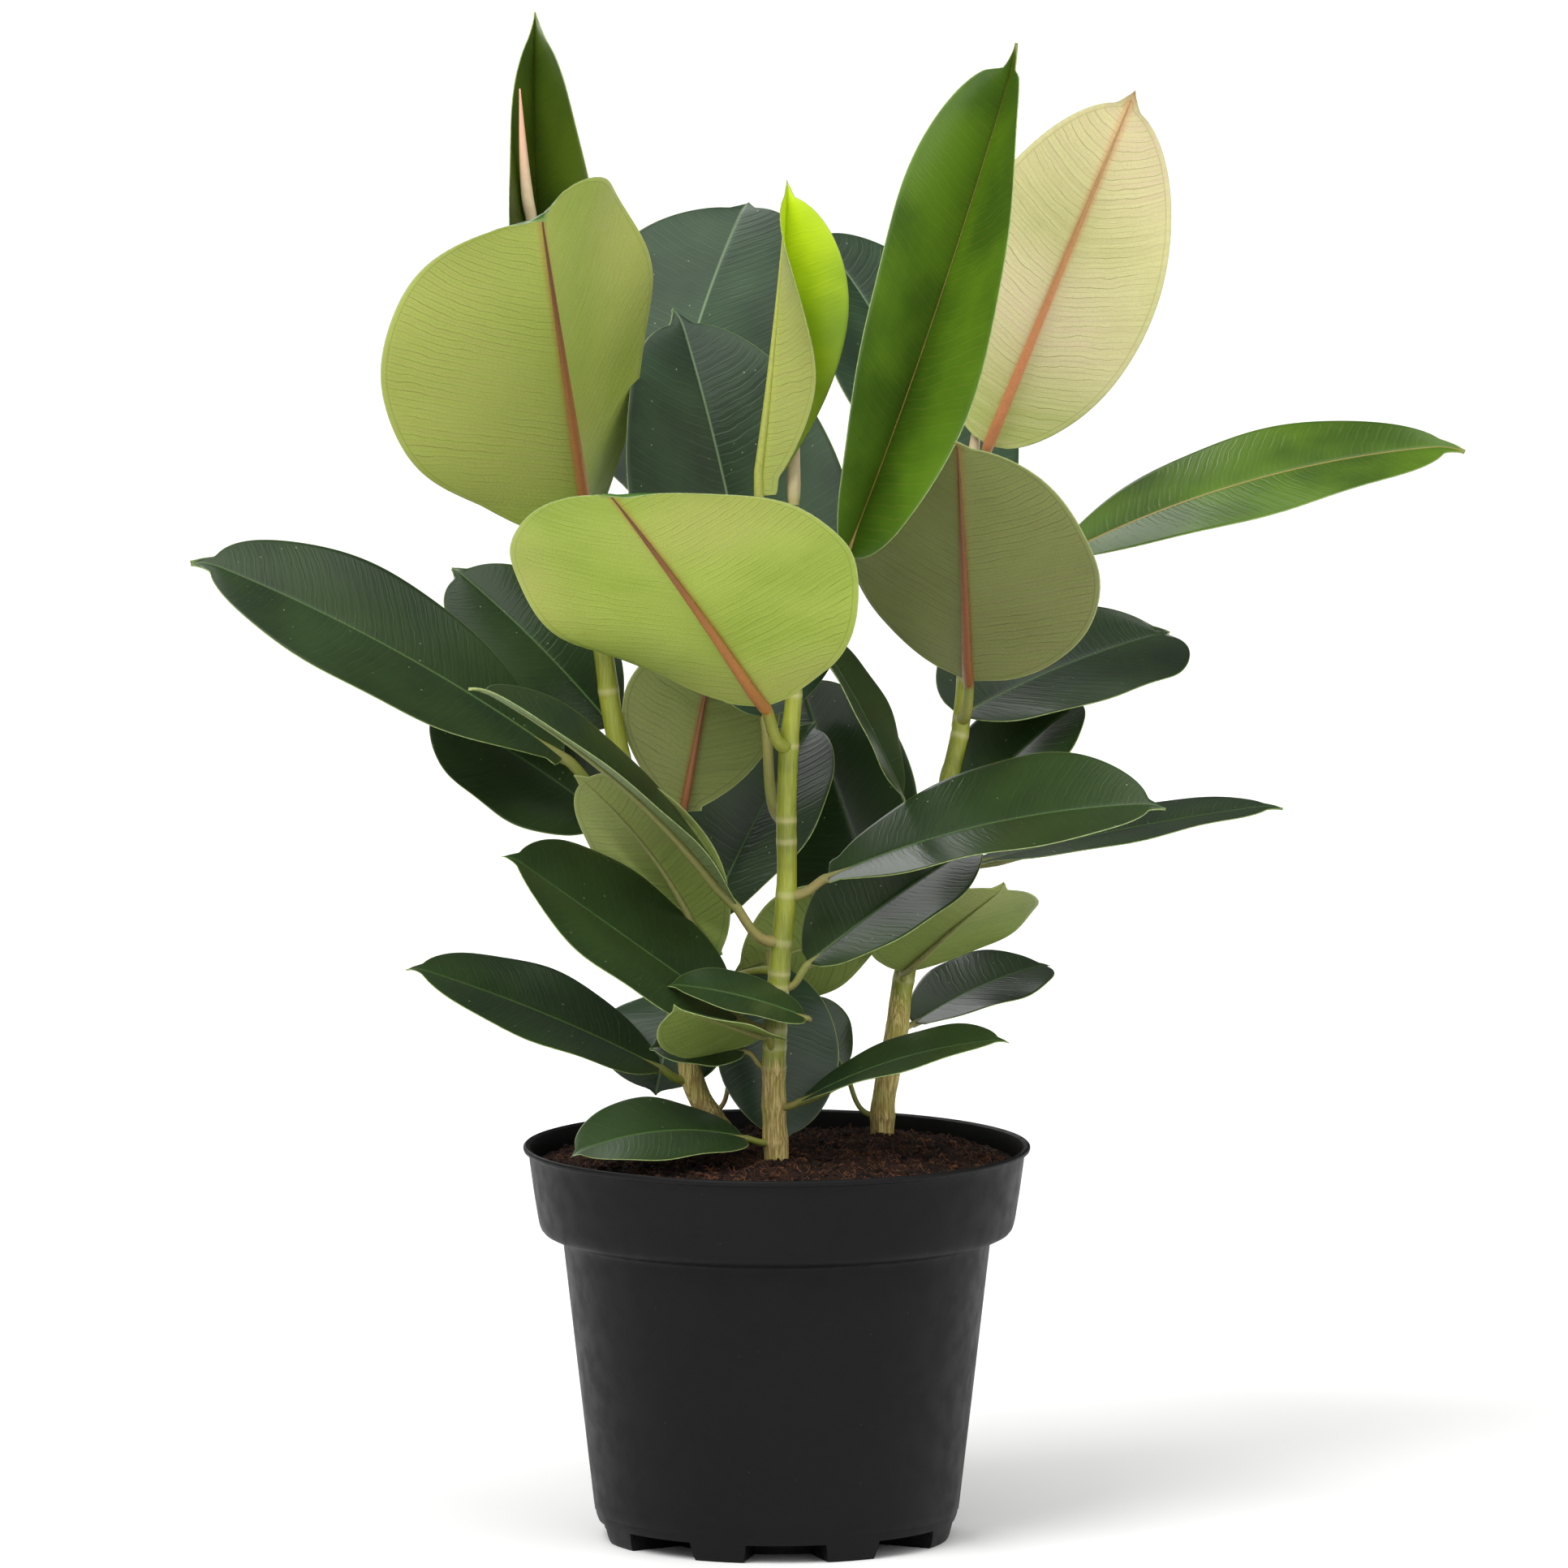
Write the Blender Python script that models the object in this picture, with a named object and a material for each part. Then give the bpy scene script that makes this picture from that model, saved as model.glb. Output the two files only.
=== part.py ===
"""A potted rubber plant: three rooted stems with large leathery leaves in a round nursery pot.

Metres, +Z up. The origin is the middle of the pot's underside, on the surface that the pot stands on. The
plant's front is the -Y side. Lengths in the tables are millimetres and angles are degrees, as a grower would
measure them, and MM turns the lengths into metres.
"""

import math
from collections import namedtuple

import bmesh
import bpy
from mathutils import Matrix, Vector

MM = 0.001
GAP = 0.35 * MM  # clearance between pieces that touch

# The pot, a 21 cm moulded nursery pot.
RIM_RADIUS = 105.0
RIM_TOP = 164.0
LIP_HEIGHT = 2.8
COLLAR_RADIUS = 102.6
COLLAR_FOOT_RADIUS = 98.4
COLLAR_FOOT = 131.0
SHOULDER = 125.2
BODY_TOP_RADIUS = 88.5
BODY_FOOT_RADIUS = 75.9
BODY_FOOT = 15.0
BASE_RADIUS = 72.0
WALL = 1.4
FLOOR = 1.5
POT_SEGMENTS = 40

# The drainage pockets, eight raised arches moulded into the foot.
POCKETS = 8
POCKET_TURN = 3.0
POCKET_HALF_ANGLE = 14.0
POCKET_INNER_RADIUS = 48.0
POCKET_HEIGHT = 7.7
DRAIN_RADIUS = 4.0
DRAIN_PLACE = 58.0

# The root ball.
SOIL_TOP = 159.8
SOIL_RING_RADII = (12, 26, 40, 54, 68, 82)
SOIL_EDGE_DROP = 3.6
MOUND_AT = (44, 60)
MOUND_RISE = 2.4
MOUND_SPREAD = 22.0
SOCKET_CLEARANCE = 0.5
STEM_FOOT = 125.0

# Leaves.
PETIOLE_RADIUS = 2.1
PETIOLE_TIP_RADIUS = 1.6
PETIOLE_RINGS = 4
BLADE_THICKNESS = 1.1
MIDRIB_DEPTH = 1.5
MIDRIB_HALF_WIDTH = 1.5
BEAK_START = 0.95
BEAK_HALF_WIDTH = 1.3
BLADE_STATIONS = (0.0, 0.03, 0.09, 0.18, 0.29, 0.41, 0.53, 0.65, 0.76, 0.85, 0.915, 0.948, 0.975, 1.0)
MIDRIB_STEPS = 40

# A stem is a list of points (x, y, z) with the radius there, from the root end to the growing tip.
STEMS = {
    "stem_front": (
        (0, -6, 125, 5.2), (0, -6, 156, 5.2), (-1, -6, 175, 5.0), (-1, -8, 202, 4.8), (1, -10, 237, 4.4),
        (4, -12, 272, 4.2), (4, -12, 303, 4.1), (5, -12, 332, 4.0), (7, -12, 353, 3.4), (8, -11, 392, 3.0),
        (7, -10, 431, 2.4),
    ),
    "stem_left": (
        (-22, 30, 125, 5.1), (-22, 30, 160, 5.1), (-26, 30, 169, 5.0), (-32, 31, 179, 4.8), (-36, 31, 190, 4.6),
        (-38, 31, 200, 4.5), (-53, 33, 266, 4.2), (-67, 34, 332, 4.2), (-72, 34, 366, 4.1), (-79, 34, 407, 3.6),
        (-90, 34, 478, 3.0), (-101, 34, 538, 2.3),
    ),
    "stem_right": (
        (44, 60, 125, 5.0), (44, 60, 163, 5.0), (45, 60, 177, 4.9), (50, 60, 203, 4.7), (53, 64, 225, 4.4),
        (64, 70, 276, 4.0), (75, 76, 320, 3.7), (77, 78, 332, 3.6), (80, 82, 367, 3.4), (81, 86, 401, 3.0),
        (82, 88, 434, 2.4),
    ),
}

# A bud sheath sits on a growing tip: a slender spindle, given the same way as a stem.
SHEATHS = {
    "sheath_front": (
        (7, -10, 431.5, 2.2), (7, -10, 438, 2.8), (7, -10, 452, 2.6), (7, -10, 472, 2.0), (9, -10, 486, 1.4),
        (14, -10, 506, 0.4),
    ),
    "sheath_left": (
        (-101, 34, 538.5, 1.9), (-101.5, 33, 546, 2.4), (-103, 31, 555, 2.5), (-104.5, 29, 572, 1.8),
        (-106, 27, 600, 0.4),
    ),
    "sheath_right": ((82, 88, 434.5, 2.1), (82, 88, 441, 2.5), (83, 88, 452, 1.7), (84, 88, 466, 0.4)),
}

# height: of the joint on the stem. petiole and chord: (azimuth, elevation, length) of the leaf stalk and of the
# straight line from the blade's foot to its tip. Azimuth 0 is +X and 90 is +Y. roll turns the blade about its
# chord, fold lifts each half from the midrib and foot_fold adds to it at the foot, bend arches the blade
# downwards, sweep curves it sideways and twist turns the tip against the foot. peak above 1 moves the widest
# place towards the tip, and a lower fullness gives a blunter outline.
Leaf = namedtuple(
    "Leaf", "name height petiole chord width roll fold bend sweep twist peak fullness foot_fold"
)
LEAVES = {
    "stem_front": (
        Leaf("leaf_front_01", 166, (212, 10, 15), (203, -2, 79), 52, -20, 6, 40, 0, 0, 1.00, 0.48, 0),
        Leaf("leaf_front_02", 181, (333, 13, 13), (345, 18, 93), 48, 14, 8, 26, 0, 0, 1.15, 0.55, 0),
        Leaf("leaf_front_03", 197, (184, 30, 14), (188, 3, 40), 34, -26, 8, 20, 0, 0, 1.05, 0.52, 0),
        Leaf("leaf_front_04", 206, (250, 29, 12), (231, 17, 63), 54, 15, -18, 0, 0, 0, 1.00, 0.45, 0),
        Leaf("leaf_front_05", 213, (186, 20, 17), (196, 36, 123), 86, -32, 8, 0, 0, 0, 1.00, 0.52, 0),
        Leaf("leaf_front_06", 221, (311, -3, 18), (194, 15, 61), 34, -25, 8, 20, 0, 0, 0.90, 0.50, 0),
        Leaf("leaf_front_07", 226, (95, 12, 42), (284, -71, 76), 52, 0, 5, 10, 0, 0, 1.00, 0.50, 0),
        Leaf("leaf_front_08", 231, (358, 38, 16), (19, 32, 92), 66, 22, 12, 12, 0, 0, 1.05, 0.52, 0),
        Leaf("leaf_front_09", 237, (131, 1, 44), (205, 53, 102), 54, 38, 8, 6, -30, 0, 1.25, 0.48, 0),
        Leaf("leaf_front_10", 250, (207, 38, 28), (199, 40, 149), 66, -14, 14, 26, 0, 0, 1.20, 0.50, 0),
        Leaf("leaf_front_11", 270, (350, 23, 19), (354, 13, 144), 82, 22, 12, 26, 0, 0, 1.30, 0.50, 0),
        Leaf("leaf_front_12", 301, (116, 64, 45), (122, 67, 180), 107, 0, 12, 18, 0, 0, 1.00, 0.48, 0),
        Leaf("leaf_front_13", 332, (233, 47, 24), (247, 33, 200), 140, 12, 10, 6, 0, 0, 1.10, 0.50, 0),
        Leaf("leaf_front_14", 372, (65, 7, 22), (21, -61, 82), 56, 30, 10, 10, 0, 0, 1.05, 0.52, 0),
        Leaf("leaf_front_15", 382, (317, 47, 41), (35, 67, 225), 84, 50, 54, 8, 6, -40, 1.00, 0.45, 0),
        Leaf("leaf_front_16", 425, (196, 36, 18), (0, 85, 131), 58, 147, 50, 4, 0, -64, 1.50, 0.50, 34),
    ),
    "stem_left": (
        Leaf("leaf_left_01", 172, (344, 58, 15), (12, 75, 32), 30, 0, 8, 10, 0, 0, 1.05, 0.52, 0),
        Leaf("leaf_left_02", 188, (204, 17, 15), (188, 23, 115), 64, -24, 8, 12, 0, 0, 1.00, 0.55, 0),
        Leaf("leaf_left_03", 212, (87, 11, 34), (238, -62, 46), 66, 0, 8, 15, 0, 0, 1.00, 0.50, 0),
        Leaf("leaf_left_04", 238, (42, 26, 27), (49, 49, 104), 78, 0, 12, 15, 0, 0, 1.05, 0.52, 0),
        Leaf("leaf_left_05", 270, (7, 62, 32), (356, 79, 81), 66, -78, 8, 10, 0, 0, 1.15, 0.60, 0),
        Leaf("leaf_left_06", 278, (143, 41, 24), (172, 32, 90), 84, -32, 8, 12, 0, 0, 1.00, 0.50, 0),
        Leaf("leaf_left_07", 304, (207, 32, 36), (187, 29, 177), 84, -33, 7, 18, 0, 0, 1.35, 0.50, 0),
        Leaf("leaf_left_08", 321, (107, 42, 17), (153, 40, 98), 72, -22, 8, 15, 0, 0, 1.20, 0.50, 0),
        Leaf("leaf_left_09", 396, (266, 53, 23), (263, 46, 215), 150, 38, 34, 0, 0, 0, 1.00, 0.50, 0),
        Leaf("leaf_left_10", 402, (44, 33, 44), (73, 40, 177), 104, 0, 12, 25, 0, 0, 1.05, 0.52, 0),
        Leaf("leaf_left_11", 447, (120, 62, 20), (116, 82, 166), 66, -12, 58, 4, -14, 0, 0.85, 0.62, 0),
    ),
    "stem_right": (
        Leaf("leaf_right_01", 167, (178, 51, 26), (186, 58, 36), 28, -50, 15, 10, 0, 0, 1.05, 0.52, 0),
        Leaf("leaf_right_02", 205, (48, 0, 10), (31, 17, 70), 56, 10, 8, 22, 0, 0, 1.30, 0.45, 0),
        Leaf("leaf_right_03", 224, (269, 28, 9), (305, 31, 85), 74, -8, 10, 5, 0, 0, 1.10, 0.50, 0),
        Leaf("leaf_right_04", 243, (238, 14, 24), (191, -15, 66), 60, 60, 8, 10, 0, 0, 1.05, 0.52, 0),
        Leaf("leaf_right_05", 247, (129, 11, 23), (135, 63, 106), 80, -70, 15, 12, 0, 0, 1.00, 0.50, 0),
        Leaf("leaf_right_06", 265, (19, 16, 23), (7, 10, 132), 62, 6, 6, 8, 0, 0, 1.20, 0.60, 0),
        Leaf("leaf_right_07", 278, (40, 42, 15), (28, 38, 80), 60, 14, 12, 15, 0, 0, 1.05, 0.52, 0),
        Leaf("leaf_right_08", 325, (87, 25, 15), (40, 13, 119), 98, 14, 10, 15, 0, 0, 1.10, 0.42, 0),
        Leaf("leaf_right_09", 332, (284, 55, 21), (267, 45, 162), 112, -14, 13, 4, 0, 0, 0.85, 0.48, 0),
        Leaf("leaf_right_10", 367, (4, 43, 42), (7, 15, 185), 78, 19, 6, 28, 0, 0, 1.30, 0.60, 0),
        Leaf("leaf_right_11", 388, (104, 41, 18), (137, 56, 160), 100, 0, 10, 15, 30, 0, 1.05, 0.52, 0),
        Leaf("leaf_right_12", 428, (315, 64, 20), (324, 64, 171), 86, -60, 10, 5, 0, 0, 0.90, 0.55, 0),
    ),
}

# Colours as linear RGB, with roughness.
POT_FINISH = ((0.020, 0.020, 0.021), 0.42)
SOIL_FINISH = ((0.045, 0.022, 0.014), 0.95)
STEM_FINISH = ((0.30, 0.33, 0.06), 0.50)
SHEATH_FINISH = ((0.75, 0.50, 0.30), 0.45)
OLD_LEAF_FINISH = ((0.016, 0.050, 0.022), 0.28)
YOUNG_LEAF_FINISH = ((0.16, 0.30, 0.03), 0.35)
YOUNG_LEAVES = ("leaf_front_15", "leaf_front_16", "leaf_right_10", "leaf_right_12")


def clear_scene():
    for obj in list(bpy.data.objects):
        bpy.data.objects.remove(obj, do_unlink=True)


def finish_material(name, finish):
    colour, roughness = finish
    material = bpy.data.materials.new(name)
    material.use_nodes = True
    shader = material.node_tree.nodes["Principled BSDF"]
    shader.inputs["Base Color"].default_value = (*colour, 1.0)
    shader.inputs["Roughness"].default_value = roughness
    shader.inputs["Metallic"].default_value = 0.0
    return material


def place(name, data, finish=None):
    """Links a new object holding this mesh or curve, with a material of its own."""
    obj = bpy.data.objects.new(name, data)
    bpy.context.scene.collection.objects.link(obj)
    if finish:
        data.materials.append(finish_material(name, finish))
    return obj


def mesh_from(name, bm):
    bmesh.ops.recalc_face_normals(bm, faces=bm.faces)
    mesh = bpy.data.meshes.new(name)
    bm.to_mesh(mesh)
    bm.free()
    return mesh


def loft(bm, rings):
    """Skins closed rings of points, one after another, and caps both ends. Returns nothing; bm grows."""
    made = [[bm.verts.new(point) for point in ring] for ring in rings]
    count = len(rings[0])
    for low, high in zip(made, made[1:]):
        for i in range(count):
            j = (i + 1) % count
            bm.faces.new((low[i], low[j], high[j], high[i]))
    bm.faces.new(list(reversed(made[0])))
    bm.faces.new(made[-1])


def turned(profile, segments, lift=None):
    """A closed solid turned about Z, from (radius, height) in mm. lift(x, y) raises what is at SOIL_TOP."""
    bm = bmesh.new()

    def corner(radius, height, turn):
        x, y = radius * math.cos(turn), radius * math.sin(turn)
        rise = lift(x, y) if lift and height == SOIL_TOP else 0.0
        return bm.verts.new(Vector((x, y, height + rise)) * MM)

    turns = [2 * math.pi * i / segments for i in range(segments)]
    rings = []
    for radius, height in profile:
        rings.append([corner(radius, height, turn) for turn in (turns if radius > 0 else (0.0,))])
    for low, high in zip(rings, rings[1:]):
        for i in range(segments):
            j = (i + 1) % segments
            face = [low[i % len(low)], low[j % len(low)], high[j % len(high)], high[i % len(high)]]
            bm.faces.new(list(dict.fromkeys(face)))
    return bm


def ring_sectors(inner, outer, low, high, half_angle, steps=6):
    """POCKETS blocks spread round a circle, each a sector of a ring."""
    bm = bmesh.new()
    for pocket in range(POCKETS):
        middle = math.radians(-90 + POCKET_TURN + 360 / POCKETS * pocket)
        half = math.radians(half_angle)
        turns = [middle - half + 2 * half * i / steps for i in range(steps + 1)]
        outline = [(outer * math.cos(t), outer * math.sin(t)) for t in turns]
        outline += [(inner * math.cos(t), inner * math.sin(t)) for t in reversed(turns)]
        loft(bm, [[Vector((x, y, z)) * MM for x, y in outline] for z in (low, high)])
    return bm


def add_cutter(target, name, mesh, operation="DIFFERENCE"):
    cutter = place(name, mesh)
    cutter.hide_render = True
    cutter.display_type = "WIRE"
    boolean = target.modifiers.new(name, "BOOLEAN")
    boolean.operation = operation
    boolean.solver = "EXACT"
    boolean.object = cutter


def pot_profile():
    """From the middle of the inside floor, up the inside, over the lip and down the outside."""
    outside = [
        (RIM_RADIUS - 0.9, RIM_TOP),
        (RIM_RADIUS, RIM_TOP - 0.9),
        (RIM_RADIUS, RIM_TOP - LIP_HEIGHT + 0.6),
        (COLLAR_RADIUS, RIM_TOP - LIP_HEIGHT - 0.4),
        (COLLAR_FOOT_RADIUS, COLLAR_FOOT),
        (COLLAR_FOOT_RADIUS - 2.2, COLLAR_FOOT - 3.2),
        (BODY_TOP_RADIUS + 1.6, SHOULDER + 0.6),
        (BODY_TOP_RADIUS, SHOULDER - 1.2),
        (BODY_FOOT_RADIUS, BODY_FOOT),
        (73.7, 8.0),
        (BASE_RADIUS, 0.8),
        (BASE_RADIUS - 0.6, 0.0),
    ]
    inside = [
        (BASE_RADIUS - WALL, FLOOR),
        (BODY_FOOT_RADIUS - WALL, BODY_FOOT),
        (BODY_TOP_RADIUS - WALL, SHOULDER + 0.4),
        (COLLAR_FOOT_RADIUS - WALL - 2.0, COLLAR_FOOT - 1.4),
        (COLLAR_FOOT_RADIUS - WALL, COLLAR_FOOT + 1.4),
        (COLLAR_RADIUS - WALL, RIM_TOP - LIP_HEIGHT),
        (COLLAR_RADIUS - WALL + 0.2, RIM_TOP),
    ]
    return [(0, FLOOR)] + inside + outside + [(0, 0)]


def make_pot():
    pot = place("pot", mesh_from("pot", turned(pot_profile(), POT_SEGMENTS)), POT_FINISH)
    shells = ring_sectors(
        POCKET_INNER_RADIUS - WALL, BASE_RADIUS - 0.5, 0.2, POCKET_HEIGHT + WALL, POCKET_HALF_ANGLE + 1.2
    )
    add_cutter(pot, "pocket_shells", mesh_from("pocket_shells", shells), "UNION")
    pockets = ring_sectors(POCKET_INNER_RADIUS, BASE_RADIUS + 6, -1, POCKET_HEIGHT, POCKET_HALF_ANGLE)
    add_cutter(pot, "pocket_cutters", mesh_from("pocket_cutters", pockets))
    drains = bmesh.new()
    for pocket in range(POCKETS):
        turn = math.radians(-90 + POCKET_TURN + 360 / POCKETS * pocket)
        at = Vector((math.cos(turn), math.sin(turn), 0)) * DRAIN_PLACE * MM
        at.z = (POCKET_HEIGHT + WALL / 2) * MM
        bmesh.ops.create_cone(
            drains, cap_ends=True, segments=12, radius1=DRAIN_RADIUS * MM, radius2=DRAIN_RADIUS * MM,
            depth=4 * WALL * MM, matrix=Matrix.Translation(at),
        )
    add_cutter(pot, "drain_cutters", mesh_from("drain_cutters", drains))


def soil_rise(x, y):
    """How far the soil's surface lies above or below SOIL_TOP at a place: it sinks to the wall and has a mound."""
    reach = math.hypot(x, y) / COLLAR_RADIUS
    mound = math.exp(-((x - MOUND_AT[0]) ** 2 + (y - MOUND_AT[1]) ** 2) / (2 * MOUND_SPREAD**2))
    lumps = 0.5 * math.sin(0.23 * x + 1.0) * math.sin(0.19 * y)
    return MOUND_RISE * mound - SOIL_EDGE_DROP * reach**3 + lumps * min(1.0, 4 * reach) * (1 - reach)


def make_soil():
    gap = GAP / MM
    at_top = COLLAR_FOOT_RADIUS - WALL + 2.4
    sides = [
        (BASE_RADIUS - WALL - gap, FLOOR + gap),
        (BODY_FOOT_RADIUS - WALL - gap, BODY_FOOT),
        (BODY_TOP_RADIUS - WALL - gap, SHOULDER + 0.4),
        (COLLAR_FOOT_RADIUS - WALL - 2.4 - gap, COLLAR_FOOT - 0.8),
        (COLLAR_FOOT_RADIUS - WALL - gap - 0.2, COLLAR_FOOT + 1.4),
        (at_top, SOIL_TOP),
    ]
    rings = [(radius, SOIL_TOP) for radius in reversed(SOIL_RING_RADII)]
    profile = [(0, FLOOR + gap)] + sides + rings + [(0, SOIL_TOP)]
    bm = turned(profile, POT_SEGMENTS, lift=soil_rise)
    soil = place("soil", mesh_from("soil", bm), SOIL_FINISH)
    rooms = ring_sectors(
        POCKET_INNER_RADIUS - WALL - gap, BASE_RADIUS + 6, -1, POCKET_HEIGHT + WALL + gap,
        POCKET_HALF_ANGLE + 1.6,
    )
    add_cutter(soil, "pocket_rooms", mesh_from("pocket_rooms", rooms))
    sockets = bmesh.new()
    for points in STEMS.values():
        x, y, foot, radius = points[0]
        socket_radius = (radius + SOCKET_CLEARANCE) * MM
        depth = (SOIL_TOP + 20 - foot) * MM + GAP
        middle = Vector((x * MM, y * MM, foot * MM - GAP + depth / 2))
        bmesh.ops.create_cone(
            sockets, cap_ends=True, segments=16, radius1=socket_radius, radius2=socket_radius, depth=depth,
            matrix=Matrix.Translation(middle),
        )
    add_cutter(soil, "stem_sockets", mesh_from("stem_sockets", sockets))


def make_spindle(name, points, finish, resolution):
    """A round rod of changing thickness, as a bevelled curve through its points."""
    curve = bpy.data.curves.new(name, "CURVE")
    curve.dimensions = "3D"
    curve.bevel_depth = MM
    curve.bevel_resolution = resolution
    curve.use_fill_caps = True
    spline = curve.splines.new("POLY")
    spline.points.add(len(points) - 1)
    for point, (x, y, z, radius) in zip(spline.points, points):
        point.co = (x * MM, y * MM, z * MM, 1.0)
        point.radius = radius
    place(name, curve, finish)


def stem_at(points, height):
    """The stem's centre, direction and radius, in metres, at a height in mm."""
    for low, high in zip(points, points[1:]):
        if low[2] <= height <= high[2]:
            break
    share = (height - low[2]) / (high[2] - low[2])
    start, end = Vector(low[:3]), Vector(high[:3])
    radius = low[3] + (high[3] - low[3]) * share
    return start.lerp(end, share) * MM, (end - start).normalized(), radius * MM


def direction(azimuth, elevation):
    azimuth, elevation = math.radians(azimuth), math.radians(elevation)
    flat = math.cos(elevation)
    return Vector((flat * math.cos(azimuth), flat * math.sin(azimuth), math.sin(elevation)))


def turn_frame(frame, bend, sweep, twist):
    """Turns (along, up, side) by angles in degrees: down about side, sideways about up, and about along."""
    along, up, side = frame
    for axis_index, angle in ((2, bend), (1, sweep), (0, twist)):
        axis = (along, up, side)[axis_index]
        turn = Matrix.Rotation(math.radians(angle), 3, axis)
        along, up, side = turn @ along, turn @ up, turn @ side
    return along, up, side


def midrib(leaf):
    """Points along the blade's midrib, from its foot at (0, 0, 0), with the frame (along, up, side) at each."""
    azimuth, elevation, length = leaf.chord
    chord = direction(azimuth, elevation)
    up = (Vector((0, 0, 1)) - chord * chord.z).normalized()
    up = Matrix.Rotation(math.radians(leaf.roll), 3, chord) @ up
    turns = (leaf.bend, leaf.sweep, leaf.twist)
    frame = turn_frame((chord, up, up.cross(chord)), *(-turn / 2 for turn in turns))
    points, frames = [Vector((0, 0, 0))], [frame]
    for _ in range(MIDRIB_STEPS):
        half_step = turn_frame(frames[-1], *(turn / MIDRIB_STEPS / 2 for turn in turns))
        points.append(points[-1] + half_step[0])
        frames.append(turn_frame(frames[-1], *(turn / MIDRIB_STEPS for turn in turns)))
    align = points[-1].rotation_difference(chord).to_matrix()
    scale = length * MM / points[-1].length
    return [align @ point * scale for point in points], [tuple(align @ axis for axis in f) for f in frames]


def half_width(leaf, share):
    """Half the blade's width in metres at a share of its length."""
    beak = BEAK_HALF_WIDTH * MM * min(1.0, max(0.0, (1.02 - share) / (1 - BEAK_START)))
    if share <= 0 or share >= BEAK_START:
        return max(beak, 0.2 * MM)
    body = math.sin(math.pi * (share / BEAK_START) ** leaf.peak) ** leaf.fullness
    return max(leaf.width / 2 * MM * body, beak)


def blade_ring(leaf, share, centre, frame):
    """Six points round the blade: margin, top, margin, and three round the midrib underneath."""
    _, up, side = frame
    reach = half_width(leaf, share)
    fold = math.radians(leaf.fold + leaf.foot_fold * (1 - share))
    taper = 1 - 0.7 * share
    top = BLADE_THICKNESS / 2 * MM * taper
    rib = min(MIDRIB_HALF_WIDTH * MM * taper, 0.6 * reach)
    rib_rise = rib * math.tan(fold) if abs(leaf.fold) < 60 else rib
    margin_out, margin_up = reach * math.cos(fold), reach * math.sin(fold)
    lower = -(BLADE_THICKNESS / 2 + MIDRIB_DEPTH) * MM * taper
    places = (
        (margin_out, margin_up), (0, top), (-margin_out, margin_up),
        (-rib * math.cos(fold), rib_rise * math.cos(fold) - top), (0, lower),
        (rib * math.cos(fold), rib_rise * math.cos(fold) - top),
    )
    return [centre + side * out + up * rise for out, rise in places]


def petiole_rings(start, start_along, end, end_frame):
    """Round sections along a smooth stalk from the stem to the blade's foot."""
    end_along, _, side = end_frame
    reach = (end - start).length
    knots = (start, start + start_along * reach * 0.4, end - end_along * reach * 0.4, end)
    rings = []
    for i in range(PETIOLE_RINGS):
        t = i / PETIOLE_RINGS
        weights = ((1 - t) ** 3, 3 * t * (1 - t) ** 2, 3 * t * t * (1 - t), t**3)
        centre = sum((knot * weight for knot, weight in zip(knots, weights)), Vector())
        slopes = (3 * (1 - t) ** 2, 6 * t * (1 - t), 3 * t * t)
        along = sum(((b - a) * s for a, b, s in zip(knots, knots[1:], slopes)), Vector()).normalized()
        across = (side - along * side.dot(along)).normalized()
        up = along.cross(across)
        radius = (PETIOLE_RADIUS + (PETIOLE_TIP_RADIUS - PETIOLE_RADIUS) * t) * MM
        angles = [math.radians(a) for a in (0, 90, 180, 225, 270, 315)]
        rings.append([centre + (across * math.cos(a) + up * math.sin(a)) * radius for a in angles])
    return rings


def make_leaf(leaf, stem_points):
    """One leaf in one piece: stalk, blade with its midrib, and drip tip."""
    centre, stem_along, stem_radius = stem_at(stem_points, leaf.height)
    out = direction(leaf.petiole[0], 0)
    out = (out - stem_along * out.dot(stem_along)).normalized()
    start = centre + out * (stem_radius + GAP)
    foot = centre + direction(*leaf.petiole[:2]) * leaf.petiole[2] * MM
    points, frames = midrib(leaf)
    rings = petiole_rings(start, out, foot, frames[0])
    for share in BLADE_STATIONS:
        place_along = share * MIDRIB_STEPS
        i = min(int(place_along), MIDRIB_STEPS - 1)
        at = points[i].lerp(points[i + 1], place_along - i)
        rings.append(blade_ring(leaf, share, foot + at, frames[round(place_along)]))
    bm = bmesh.new()
    loft(bm, rings)
    mesh = mesh_from(leaf.name, bm)
    mesh.shade_smooth()
    place(leaf.name, mesh, YOUNG_LEAF_FINISH if leaf.name in YOUNG_LEAVES else OLD_LEAF_FINISH)


def main():
    clear_scene()
    make_pot()
    make_soil()
    for name, points in STEMS.items():
        make_spindle(name, points, STEM_FINISH, 3)
    for name, points in SHEATHS.items():
        make_spindle(name, points, SHEATH_FINISH, 2)
    for stem, leaves in LEAVES.items():
        for leaf in leaves:
            make_leaf(leaf, STEMS[stem])


main()
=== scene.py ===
"""The looks of a potted rubber plant: leaves, stems, bud sheaths, peat and a black nursery pot.

Lengths in the tables are millimetres and angles are degrees, as in the part's own source. Everything that is
built is in metres, in the frame of the packed part: +Z up, -Y the front, and the origin under the pot. The
floor and the lights are a plain pale studio.
"""

import math
import random
from collections import namedtuple

import bmesh
import bpy
import numpy as np
from mathutils import Matrix, Vector, noise


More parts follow.
